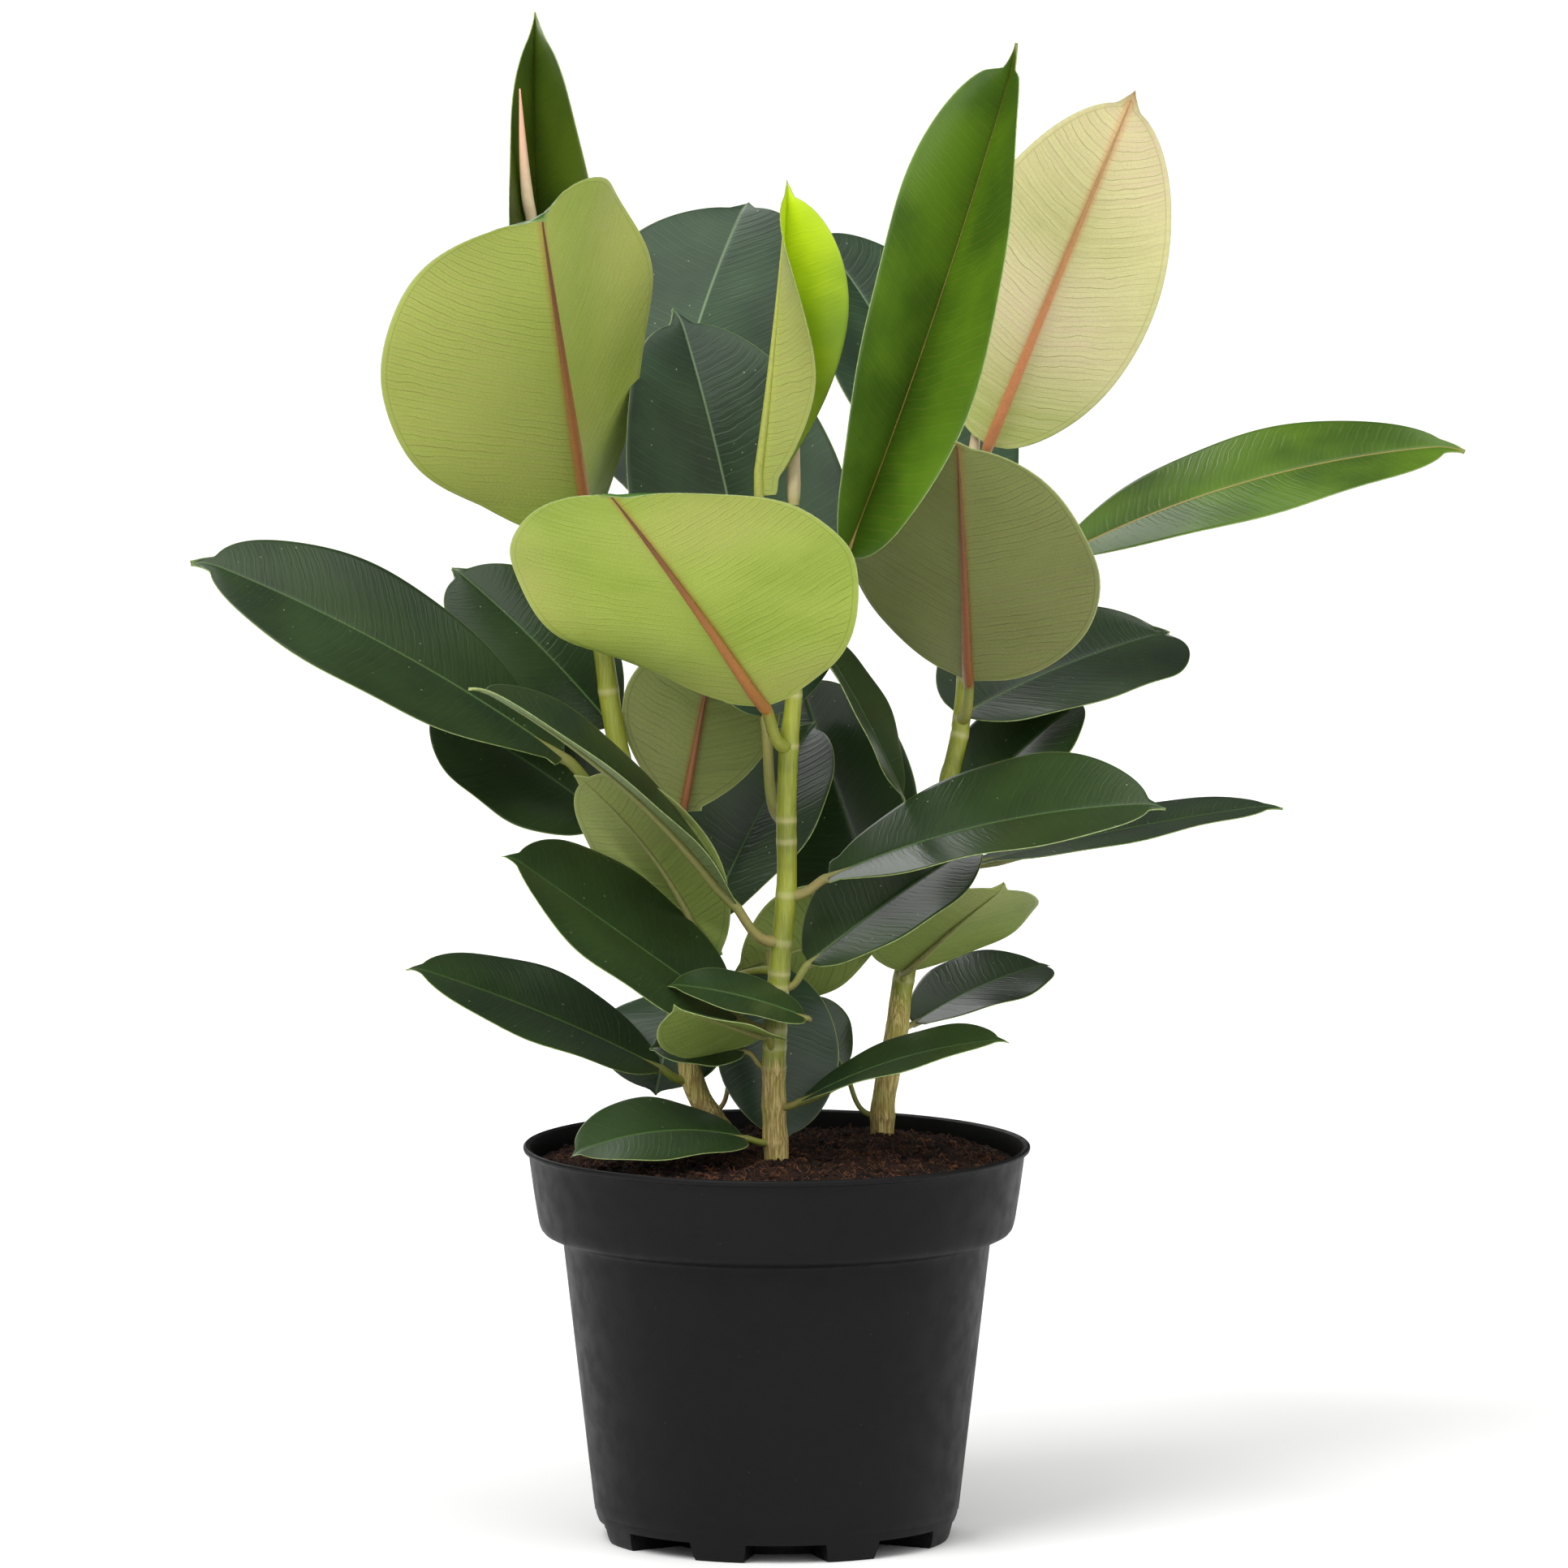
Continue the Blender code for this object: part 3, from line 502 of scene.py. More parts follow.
def under_material(name, finish):
    _, _, _, dark, light, vein, foot, *_ = LEAF_FINISHES[finish]
    material, tree, shader = new_material(name, 0.50, Specular_IOR_Level=0.16)
    mottle = use_group(tree, "Plant Mottle", Scale=14.0)
    veins = use_group(tree, "Leaf Veins", Line_Width=0.07, Net_Scale=650.0)
    colour = blend(tree, mottle["Patches"], dark, light)
    blush = maths(tree, "MULTIPLY", span(tree, mottle["Tint"], 0.15, 0.85), 0.65)
    colour = blend(tree, blush, colour, [light[0] * 1.12, light[1] * 0.90, light[2] * 1.35])
    if finish == "cream":
        blush = maths(tree, "MULTIPLY", span(tree, attribute(tree, "along"), 0.30, 0.95), 0.60)
        colour = blend(tree, blush, colour, (0.66, 0.52, 0.34))
        green_foot = span(tree, attribute(tree, "along"), 0.40, 0.0, 0.0, 0.8)
        colour = blend(tree, green_foot, colour, (0.42, 0.53, 0.10))
    streak = put(tree, "ShaderNodeTexNoise", noise_dimensions="1D", values={"Scale": 1.3, "Detail": 2.0})
    tree.links.new(attribute(tree, "vein"), streak.inputs["W"])
    bands = maths(tree, "MULTIPLY", span(tree, streak.outputs["Fac"], 0.35, 0.65), 0.38)
    colour = blend(tree, bands, colour, light)
    colour = tinge(tree, veins["Net"], 0.16, colour, vein)
    colour = tinge(tree, veins["Side Veins"], 0.62, colour, vein)
    colour = tinge(tree, veins["Margin Vein"], 0.45, colour, vein)
    middle = span(tree, attribute(tree, "rib_gap"), 0.0034, 0.0010)
    colour = tinge(tree, middle, 0.35, colour, foot)
    margin = span(tree, attribute(tree, "edge_gap"), 0.0005, 0.0001)
    colour = tinge(tree, margin, 0.5, colour, (0.52, 0.58, 0.24))
    rough = ranged(tree, mottle["Grain"], 0.44, 0.58)
    height = maths(tree, "ADD", veins["Side Veins"], maths(tree, "MULTIPLY", veins["Net"], 0.3))
    feed(tree, shader, colour, rough, height, depth=0.00014)
    return material


def rim_material(name, _finish):
    """The cut edge, the same on every leaf."""
    material, tree, shader = new_material(name, 0.45)
    mottle = use_group(tree, "Plant Mottle", Scale=60.0)
    colour = blend(tree, mottle["Grain"], (0.16, 0.23, 0.06), (0.32, 0.38, 0.14))
    feed(tree, shader, colour)
    return material


def stalk_material(name, finish):
    *_, foot, tip, stalk, _ = LEAF_FINISHES[finish]
    material, tree, shader = new_material(name, 0.42)
    mottle = use_group(tree, "Plant Mottle", Scale=70.0)
    along = attribute(tree, "along")
    stem_side = blend(tree, mottle["Tint"], stalk, (0.19, 0.24, 0.025))
    colour = blend(tree, span(tree, along, -0.25, 0.06), stem_side, foot)
    colour = blend(tree, span(tree, along, 0.15, 0.9), colour, tip)
    colour = tinge(tree, mottle["Grain"], 0.2, colour, (0.20, 0.12, 0.04))
    rough = ranged(tree, mottle["Grain"], 0.36, 0.52)
    feed(tree, shader, colour, rough, mottle["Fine"], depth=0.00006)
    return material


LEAF_SURFACES = {
    "upper": upper_material,
    "under": under_material,
    "rim": rim_material,
    "stalk": stalk_material,
}


def leaf_materials(finish):
    """The four materials of a leaf's finish, made once."""
    made = []
    for part, build in LEAF_SURFACES.items():
        name = f"leaf_{finish}_{part}"
        made.append(bpy.data.materials.get(name) or build(name, finish))
    return made


# ----------------------------------------------------------------------------------------------------
# Shapes


def add_object(name, mesh, *cad_nodes, slot=None):
    """Links an object that rides on the plant's one body and stands for these CAD nodes."""
    obj = bpy.data.objects.new(name, mesh)
    bpy.context.scene.collection.objects.link(obj)
    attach(obj, BODY)
    if cad_nodes:
        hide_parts(*cad_nodes)
    return obj


def mesh_of(name, points, faces, materials, indices=None, marks=None):
    """A smooth mesh from arrays, with a material index for each face and float marks for each point."""
    mesh = bpy.data.meshes.new(name)
    mesh.from_pydata([tuple(p) for p in points], [], faces)
    for material in materials:
        mesh.materials.append(material)
    if indices is not None:
        mesh.polygons.foreach_set("material_index", indices)
    for title, values in (marks or {}).items():
        mark = mesh.attributes.new(title, "FLOAT", "POINT")
        mark.data.foreach_set("value", np.asarray(values, np.float32))
    mesh.validate()
    mesh.shade_smooth()
    mesh.update()
    return mesh


def mesh_from_bmesh(name, bm):
    mesh = bpy.data.meshes.new(name)
    bm.to_mesh(mesh)
    bm.free()
    return mesh


def ring_faces(rings, around, start=0):
    """Quads between rings of points, in order, and a cap at each end."""
    faces = []
    for r in range(rings - 1):
        low, high = start + r * around, start + (r + 1) * around
        for i in range(around):
            j = (i + 1) % around
            faces.append((low + i, low + j, high + j, high + i))
    faces.append(tuple(start + i for i in reversed(range(around))))
    faces.append(tuple(start + (rings - 1) * around + i for i in range(around)))
    return faces


def direction(azimuth, elevation):
    azimuth, elevation = math.radians(azimuth), math.radians(elevation)
    flat = math.cos(elevation)
    return Vector((flat * math.cos(azimuth), flat * math.sin(azimuth), math.sin(elevation)))


def turn_frame(axes, bend, sweep, twist):
    """Turns (along, up, side) by angles in degrees: down about side, sideways about up, and about along."""
    along, up, side = axes
    for axis_index, angle in ((2, bend), (1, sweep), (0, twist)):
        turn = Matrix.Rotation(math.radians(angle), 3, (along, up, side)[axis_index])
        along, up, side = turn @ along, turn @ up, turn @ side
    return along, up, side


def smooth_path(points, steps):
    """A curve through (x, y, z, radius) points, as an array of the same columns, in metres."""
    knots = np.array(points, float) * MM
    knots = np.vstack([2 * knots[0] - knots[1], knots, 2 * knots[-1] - knots[-2]])
    out = []
    for i in range(1, len(knots) - 2):
        a, b, c, d = knots[i - 1 : i + 3]
        for t in np.arange(steps) / steps:
            curve = (2 * a - 5 * b + 4 * c - d) * t**2 + (3 * b - a - 3 * c + d) * t**3
            out.append(0.5 * (2 * b + (c - a) * t + curve))
    out.append(knots[-2])
    return np.array(out)


def stem_at(points, height):
    """The stem's centre, direction and radius, in metres, at a height in mm."""
    for low, high in zip(points, points[1:]):
        if low[2] <= height <= high[2]:
            break
    share = (height - low[2]) / (high[2] - low[2])
    start, end = Vector(low[:3]), Vector(high[:3])
    radius = low[3] + (high[3] - low[3]) * share
    return start.lerp(end, share) * MM, (end - start).normalized(), radius * MM


def sweep_tube(path, radii, around, squash=None):
    """Rings of points round a path, turned as little as possible from one to the next."""
    path = np.asarray(path, float)
    slopes = np.gradient(path, axis=0)
    across = None
    rings = []
    for centre, slope, radius in zip(path, slopes, radii):
        along = Vector(slope).normalized()
        if across is None:
            across = along.orthogonal().normalized()
        across = (across - along * across.dot(along)).normalized()
        up = along.cross(across)
        for i in range(around):
            angle = 2 * math.pi * i / around
            reach = radius * (squash(angle) if squash else 1.0)
            point = Vector(centre) + (across * math.cos(angle) + up * math.sin(angle)) * reach
            rings.append(tuple(point))
    return rings


def half_width(leaf, share):
    """Half the blade's width in metres at shares of its length, as an array."""
    share = np.asarray(share, float)
    left = np.clip((1.0 - share) / BEAK_LENGTH, 0, 1)
    needle = BEAK_HALF_WIDTH * MM * (BEAK_POINT + (1 - BEAK_POINT) * np.clip(left / NEEDLE_SHARE, 0, 1))
    beak = needle + BEAK_FLARE * leaf.width * MM * left**1.7
    inside = np.clip(share / BEAK_START, 0, 1)
    body = np.sin(np.pi * inside**leaf.peak).clip(0) ** leaf.fullness
    body = np.where((share <= 0) | (share >= BEAK_START), 0, body)
    lead = np.clip(share / 0.012, 0.05, 1.0)
    return np.maximum(leaf.width / 2 * MM * body, np.minimum(beak, beak * lead))


def grow_midrib(leaf, steps):
    """Arrays of the midrib's points and of its along, up and side directions, from a foot at (0, 0, 0)."""
    azimuth, elevation, length = leaf.chord
    chord = direction(azimuth, elevation)
    up = (Vector((0, 0, 1)) - chord * chord.z).normalized()
    up = Matrix.Rotation(math.radians(leaf.roll), 3, chord) @ up
    turns = (leaf.bend, leaf.sweep, leaf.twist)
    axes = turn_frame((chord, up, up.cross(chord)), *(-turn / 2 for turn in turns))
    points, all_axes = [Vector((0, 0, 0))], [axes]
    for _ in range(steps):
        half = turn_frame(all_axes[-1], *(turn / steps / 2 for turn in turns))
        points.append(points[-1] + half[0])
        all_axes.append(turn_frame(all_axes[-1], *(turn / steps for turn in turns)))
    align = points[-1].rotation_difference(chord).to_matrix()
    scale = length * MM / points[-1].length
    points = [align @ point * scale for point in points]
    all_axes = [[align @ axis for axis in axes] for axes in all_axes]
    first = int(steps * HOOK_START)
    for i in range(first, steps + 1):
        share = (i - first) / (steps - first)
        turn = Matrix.Rotation(math.radians(leaf.hook * share), 3, all_axes[i][2])
        all_axes[i] = [turn @ axis for axis in all_axes[i]]
        if i > first:
            points[i] = points[i - 1] + all_axes[i][0] * (length * MM / steps)
    arrays = [np.array([[*axes[k]] for axes in all_axes]) for k in range(3)]
    return np.array([[*p] for p in points]), arrays


def ramp(values, start, width):
    """0 up to start, and 1 from start + width on."""
    return np.clip((values - start) / width, 0, 1)


def blade_rise(leaf, at, columns, vein, relief, rng):
    """How far the blade's skin lies above the flat, in metres: swells between the veins, and slow waves."""
    share_out = np.abs(columns)[None, :]
    sign = np.sign(columns)[None, :]
    fade = ramp(share_out, 0, 0.12) * ramp(1 - share_out, 0, 0.14)
    fade = fade * ramp(at, 0.02, 0.08) * ramp(0.97 - at, 0, 0.08)
    size = np.clip(leaf.width / 90, 0.35, 1.2)
    rise = -relief * size * np.cos(2 * np.pi * vein) * fade
    phases = [rng.uniform(0, 2 * math.pi) for _ in range(4)]
    slow = np.sin(at * 9 + phases[0] + sign * phases[1])
    quick = np.sin(at * 17 + phases[2] - sign * phases[3])
    swing = BRIGHT_SWING if leaf.finish == "bright" else SWING
    return rise + swing * leaf.width * MM * (slow + 0.6 * quick) * share_out**2 * ramp(at, 0, 0.1)


def blade_rings(leaf, foot, relief, rng):
    """The blade's closed rings and their marks. Each ring runs over the top, round the rim and back below."""
    veins = max(FEWEST_VEINS, round(leaf.chord[2] / VEIN_PITCH))
    rows = veins * ROWS_PER_VEIN
    middle, (_, up, side) = grow_midrib(leaf, rows)
    shares = np.linspace(0, 1, rows + 1)
    columns = np.array([-c for c in reversed(COLUMN_SHARES[1:])] + list(COLUMN_SHARES))
    slant = VEIN_SLANT * leaf.width / 2 / leaf.chord[2] * np.sin(np.pi * shares)
    at = np.clip(shares[:, None] + slant[:, None] * np.abs(columns)[None, :] ** 1.3, 0, 1)
    # A row keeps its order along the blade, so the slant fades out before the tip.
    at = np.maximum.accumulate(at, axis=0)

    def along_midrib(values):
        return np.stack([np.interp(at, shares, values[:, k]) for k in range(3)], axis=-1)

    centre, up, side = along_midrib(middle), along_midrib(up), along_midrib(side)
    reach = half_width(leaf, at)
    out = reach * np.abs(columns)[None, :]
    sign = np.sign(columns)[None, :]
    fold = np.radians(leaf.fold + leaf.foot_fold * (1 - at))
    lobe = side * (sign * np.cos(fold))[..., None] + up * np.sin(fold)[..., None]
    normal = up * np.cos(fold)[..., None] - side * (sign * np.sin(fold))[..., None]
    normal[:, len(COLUMN_SHARES) - 1] = up[:, len(COLUMN_SHARES) - 1]
    vein = shares[:, None] * veins + np.where(columns > 0, 0.5, 0.0)[None, :]
    share_out = np.abs(columns)[None, :]
    rise = blade_rise(leaf, at, columns, vein, relief, rng) - MARGIN_DROOP * reach * share_out**2
    groove = np.exp(-((out / (RIB_GROOVE_HALF_WIDTH * MM)) ** 2)) * RIB_GROOVE * MM
    half = BLADE_THICKNESS / 2 * MM * np.clip(1.15 - 0.5 * share_out, 0.5, 1.2) * np.ones_like(at)
    surface = foot[None, None, :] + centre + lobe * out[..., None] + normal * rise[..., None]
    top = surface + normal * (half - groove)[..., None]
    below = surface - normal * half[..., None]
    rim = RIM_REACH * MM
    left = (surface + lobe * rim)[:, :1]
    right = (surface + lobe * rim)[:, -1:]
    rings = np.concatenate([top, right, below[:, ::-1], left], axis=1)
    gap = reach - out
    slope = np.gradient(np.broadcast_to(reach, gap.shape), axis=0) * rows / (leaf.chord[2] * MM)
    gap = gap / np.sqrt(1 + slope**2)

    def ringed(values, ends):
        values = np.broadcast_to(values, at.shape)
        return np.concatenate([values, values[:, -1:] + ends, values[:, ::-1], values[:, :1] + ends], axis=1)

    marks = {
        "vein": ringed(vein, 0.0), "rib_gap": ringed(out, 0.0), "edge_gap": ringed(gap, 0.0),
        "along": ringed(at, 0.0),
    }
    return rings, marks, middle


def stalk_path(leaf, stem_points, foot, middle, up, along):
    """The stalk from inside the stem to the blade, carried on below the blade as the raised midrib."""
    centre, stem_along, stem_radius = stem_at(stem_points, leaf.height)
    out = direction(leaf.petiole[0], 0)
    out = (out - stem_along * out.dot(stem_along)).normalized()
    start = centre + out * stem_radius * 0.55
    reach = (foot - start).length
    knots = [start, start + out * reach * 0.42, foot - Vector(along[0]) * reach * 0.4, foot]
    knots = [np.array(knot) for knot in knots]
    thick = 0.80 + 0.0092 * leaf.chord[2]
    path, radii, marks = [], [], []
    for i in range(STALK_STEPS):
        t = i / STALK_STEPS
        ends = knots[0] * (1 - t) ** 3 + knots[3] * t**3
        path.append(ends + 3 * knots[1] * t * (1 - t) ** 2 + 3 * knots[2] * t * t * (1 - t))
        flare = 0.55 * math.exp(-((t / 0.16) ** 2)) + 0.10 * math.exp(-(((t - 0.97) / 0.12) ** 2))
        radii.append(thick * (1.0 - 0.10 * t) * (1 + 0.5 * flare))
        marks.append(t - 1)
    for i in range(RIB_STEPS):
        t = (i / (RIB_STEPS - 1)) ** 1.3 * 0.965
        radius = thick * 0.92 * (1 - t) ** 1.05 + 0.22
        drop = radius * min(0.92, 0.25 + 9 * t)
        k = t * (len(middle) - 1)
        low = int(k)
        centre = middle[low] + (middle[min(low + 1, len(middle) - 1)] - middle[low]) * (k - low)
        path.append(np.array(foot) + centre - np.array(up[low]) * drop * MM)
        radii.append(radius)
        marks.append(t)
    return path, np.array(radii) * MM, marks


def draw_in(points, along):
    """Brings a leaf that would reach past the part's box back inside it, by its far end only."""
    low = np.array(CAD_BOUNDS[0]) + BOX_MARGIN * MM
    high = np.array(CAD_BOUNDS[1]) - BOX_MARGIN * MM
    share = np.clip(along, FIXED_SHARE, 1.0)[:, None] ** 2
    past = (np.minimum(points - low, 0) + np.maximum(points - high, 0)) / share
    past[along < FIXED_SHARE] = 0
    farthest = np.abs(past).argmax(axis=0)
    return points - share * past[farthest, range(3)] * (along > 0)[:, None]


def build_leaf(leaf, stem_points, relief, seed):
    """One leaf in one piece, standing for its CAD node."""
    rng = random.Random(seed)
    centre, _, _ = stem_at(stem_points, leaf.height)
    foot = centre + direction(*leaf.petiole[:2]) * leaf.petiole[2] * MM
    rings, marks, middle = blade_rings(leaf, np.array(foot), relief, rng)
    rows, around = rings.shape[:2]
    faces = ring_faces(rows, around)
    top = 2 * (len(COLUMN_SHARES) - 1)
    by_place = [0] * top + [2, 2] + [1] * top + [2, 2]
    indices = by_place * (rows - 1) + [2, 2]
    _, (along, up, _) = grow_midrib(leaf, rows - 1)
    path, radii, places = stalk_path(leaf, stem_points, foot, middle, up, along)
    tube = sweep_tube(path, radii, STALK_SIDES)
    count = rows * around
    faces += ring_faces(len(path), STALK_SIDES, start=count)
    indices += [3] * (len(faces) - len(indices))
    points = np.concatenate([rings.reshape(-1, 3), np.array(tube)])
    values = {}
    for title, ringed in marks.items():
        extra = np.repeat(places, STALK_SIDES) if title == "along" else np.zeros(len(tube))
        values[title] = np.concatenate([ringed.reshape(-1), extra])
    points = draw_in(points, values["along"])
    mesh = mesh_of("rubber_" + leaf.name, points, faces, leaf_materials(leaf.finish), indices, values)
    return add_object("rubber_" + leaf.name, mesh, leaf.name, slot=leaf.name)


def add_rod(name, rings, around, material, marks):
    """The piece that stands for a stem's or a sheath's node, with marks for each ring."""
    count = len(rings) // around
    values = {title: np.repeat(ringed, around) for title, ringed in marks.items()}
    mesh = mesh_of("rubber_" + name, rings, ring_faces(count, around), [material], None, values)
    return add_object("rubber_" + name, mesh, name, slot=name)


def build_stem(name, points):
    """A stem with a scar ring at each leaf joint, woody below and green above."""
    path = smooth_path(points, 26)
    joints = [leaf.height for leaf in LEAVES[name]]
    rings_at = [height * MM for height in (*joints, *OLD_SCARS[name])]
    bark_top = BARK_TOPS[name] * MM
    rng = random.Random(len(name) * 7)
    radii, marks, woody = [], [], []
    for _, _, z, radius in path:
        near = min(abs(z - joint) for joint in rings_at)
        ring = math.exp(-((near / (1.1 * MM)) ** 2))
        swell = math.exp(-((near / (4.5 * MM)) ** 2))
        wood = min(1.0, max(0.0, (bark_top - z) / (10 * MM)))
        lump = 0.02 * math.sin(z * 420) * wood + rng.uniform(-0.004, 0.004) * wood
        radii.append(radius * (1 + 0.045 * swell + 0.035 * ring + lump))
        marks.append(ring)
        woody.append(wood)
    material = bpy.data.materials.get("stem_bark") or stem_material("stem_bark")
    rings = sweep_tube(path[:, :3], radii, STEM_SIDES)
    return add_rod(name, rings, STEM_SIDES, material, {"ring": marks, "woody": woody})


def stem_material(name):
    looks = bpy.context.scene.rubber_stem
    material, tree, shader = new_material(name, 0.45)
    mottle = use_group(tree, "Plant Mottle", Scale=45.0)
    streak = put(
        tree, "ShaderNodeTexNoise",
        values={"Vector": place_of(tree, (1, 1, 0.07)), "Scale": 1200.0, "Detail": 5.0},
    )
    stripes = span(tree, streak.outputs["Fac"], 0.40, 0.60)
    crack = put(
        tree, "ShaderNodeTexVoronoi", feature="DISTANCE_TO_EDGE",
        values={"Vector": place_of(tree, (1, 1, 0.08)), "Scale": 1150.0},
    )
    cracks = span(tree, crack.outputs["Distance"], 0.07, 0.0)
    bark = blend(tree, stripes, looks.bark_dark, looks.bark_light)
    bark = tinge(tree, cracks, 0.30, bark, (0.24, 0.12, 0.04))
    bark = tinge(tree, mottle["Patches"], 0.65, bark, (0.44, 0.45, 0.07))
    green = blend(tree, mottle["Patches"], looks.green_dark, looks.green_light)
    green = tinge(tree, stripes, 0.22, green, (0.42, 0.44, 0.12))
    green = tinge(tree, attribute(tree, "ring"), 0.55, green, (0.50, 0.46, 0.22))
    edge = maths(tree, "ADD", attribute(tree, "woody"), maths(tree, "MULTIPLY", stripes, 0.5))
    lower = span(tree, attribute(tree, "woody"), 0.0, 0.3)
    wood = maths(tree, "MULTIPLY", span(tree, edge, 0.5, 1.1), lower)
    colour = blend(tree, wood, green, bark)
    rough = ranged(tree, wood, 0.38, 0.75)
    furrows = maths(tree, "SUBTRACT", stripes, maths(tree, "MULTIPLY", cracks, 0.8))
    deep = maths(tree, "MULTIPLY", furrows, wood)
    height = maths(tree, "ADD", deep, maths(tree, "MULTIPLY", mottle["Fine"], 0.15))
    feed(tree, shader, colour, rough, height, depth=0.00028)
    return material


def sheath_material(name):
    material, tree, shader = new_material(name, 0.38)
    mottle = use_group(tree, "Plant Mottle", Scale=40.0)
    along = attribute(tree, "along")
    colour = blend(tree, span(tree, along, 0.0, 0.35), (0.56, 0.52, 0.20), (0.80, 0.66, 0.42))
    colour = blend(tree, span(tree, along, 0.45, 1.0), colour, (0.78, 0.40, 0.27))
    colour = tinge(tree, mottle["Grain"], 0.30, colour, (0.70, 0.42, 0.26))
    rough = ranged(tree, mottle["Grain"], 0.32, 0.46)
    feed(tree, shader, colour, rough, mottle["Fine"], depth=0.00005)
    return material


def build_sheath(name, points):
    """A rolled bud sheath, with the overlap of the roll as a ridge down one side."""
    height, place, width = SHEATH_RIDGE

    def ridge(angle):
        return 1 + height * math.exp(-(((angle - place) / width) ** 2))

    path = smooth_path(points, 14)
    material = bpy.data.materials.get("bud_sheath") or sheath_material("bud_sheath")
    rings = sweep_tube(path[:, :3], path[:, 3], SHEATH_SIDES, squash=ridge)
    return add_rod(name, rings, SHEATH_SIDES, material, {"along": np.linspace(0, 1, len(path))})


# ----------------------------------------------------------------------------------------------------
# The pot and the peat


def round_axis(radius, turn, height):
    """A point in metres, from a radius and height in mm and a turn about Z in radians."""
    return Vector((radius * math.cos(turn), radius * math.sin(turn), height)) * MM


def revolve(name, profile, segments):
    """A closed solid turned about Z from (radius, height) points in mm, from the axis to the axis."""
    bm = bmesh.new()
    rings = []
    for radius, height in profile:
        turns = [2 * math.pi * i / segments for i in range(segments if radius > 0 else 1)]
        rings.append([bm.verts.new(round_axis(radius, turn, height)) for turn in turns])
    for low, high in zip(rings, rings[1:]):
        for i in range(segments):
            j = (i + 1) % segments
            face = [low[i % len(low)], low[j % len(low)], high[j % len(high)], high[i % len(high)]]
            bm.faces.new(list(dict.fromkeys(face)))
    bmesh.ops.recalc_face_normals(bm, faces=bm.faces)
    return mesh_from_bmesh(name, bm)


def pocket_turns():
    """The middle of each drainage pocket, in radians about Z."""
    return [math.radians(-90 + POCKET_TURN + 360 / POCKETS * pocket) for pocket in range(POCKETS)]


def sector_blocks(name, inner, outer, low, high, half_angle, draft=0.0):
    """One block for each drainage pocket: a sector of a ring, narrower at its top by the draft."""
    bm = bmesh.new()
    steps = 10
    for middle in pocket_turns():
        levels = []
        for height, angle in ((low, half_angle), (high, half_angle - draft)):
            half = math.radians(angle)
            turns = [middle - half + 2 * half * i / steps for i in range(steps + 1)]
            outline = [round_axis(outer, turn, height) for turn in turns]
            outline += [round_axis(inner, turn, height) for turn in reversed(turns)]
            levels.append([bm.verts.new(point) for point in outline])
        count = len(levels[0])
        for i in range(count):
            j = (i + 1) % count
            bm.faces.new((levels[0][i], levels[0][j], levels[1][j], levels[1][i]))
        bm.faces.new(list(reversed(levels[0])))
        bm.faces.new(levels[1])
    bmesh.ops.recalc_face_normals(bm, faces=bm.faces)
    return mesh_from_bmesh(name, bm)


def drain_pins():
    """A pin for each drain hole, through the roof of its pocket."""
    bm = bmesh.new()
    for turn in pocket_turns():
        at = round_axis(DRAIN_CIRCLE, turn, POCKET_HEIGHT + POCKET_WALL / 2)
        bmesh.ops.create_cone(
            bm, cap_ends=True, segments=40, radius1=DRAIN_RADIUS * MM, radius2=DRAIN_RADIUS * MM,
            depth=8 * MM, matrix=Matrix.Translation(at),
        )
    return mesh_from_bmesh("drain_pins", bm)


def cut_with(obj, mesh, operation):
    """Applies a Boolean with this mesh, and removes its helper object."""
    helper = bpy.data.objects.new(mesh.name, mesh)
    bpy.context.scene.collection.objects.link(helper)
    boolean = obj.modifiers.new(mesh.name, "BOOLEAN")
    boolean.operation = operation
    boolean.solver = "EXACT"
    boolean.object = helper
    bpy.context.view_layer.update()
    made = bpy.data.meshes.new_from_object(obj.evaluated_get(bpy.context.evaluated_depsgraph_get()))
    obj.modifiers.clear()
    old = obj.data
    obj.data = made
    bpy.data.meshes.remove(old)
    bpy.data.objects.remove(helper)


def pot_material(name):
    looks = bpy.context.scene.rubber_pot
    material, tree, shader = new_material(name, looks.roughness, Specular_IOR_Level=0.12)
    mottle = use_group(tree, "Plant Mottle", Scale=12.0)
    colour = blend(tree, mottle["Patches"], looks.colour, [c * 1.25 for c in looks.colour])
    dust = use_group(tree, "Pale Specks", Scale=260.0, Size=0.14, Share=0.05)["Dots"]
    colour = tinge(tree, dust, 0.10, colour, (0.14, 0.12, 0.10))
    rough = ranged(tree, mottle["Grain"], looks.roughness - 0.04, looks.roughness + 0.07)
    flow = put(
        tree, "ShaderNodeTexNoise",
        values={"Vector": place_of(tree, (1, 1, 0.25)), "Scale": 90.0, "Detail": 2.0},
    )
    grain = put(
        tree, "ShaderNodeTexNoise", values={"Vector": place_of(tree), "Scale": 1400.0, "Detail": 2.0}
    )
    height = maths(tree, "ADD", maths(tree, "MULTIPLY", flow.outputs["Fac"], 0.5), grain.outputs["Fac"])
    feed(tree, shader, colour, rough, height, depth=0.00005)
    return material


def soil_rise(x, y):
    """How far, in mm, the peat lies above or below its level: it sinks to the wall and has a mound."""
    reach = math.hypot(x, y) / 102.6
    mound = math.exp(-((x - 44) ** 2 + (y - 60) ** 2) / (2 * 22.0**2))
    lumps = 0.5 * math.sin(0.23 * x + 1.0) * math.sin(0.19 * y)
    return 2.4 * mound - 3.6 * reach**3 + lumps * min(1.0, 4 * reach) * (1 - reach)


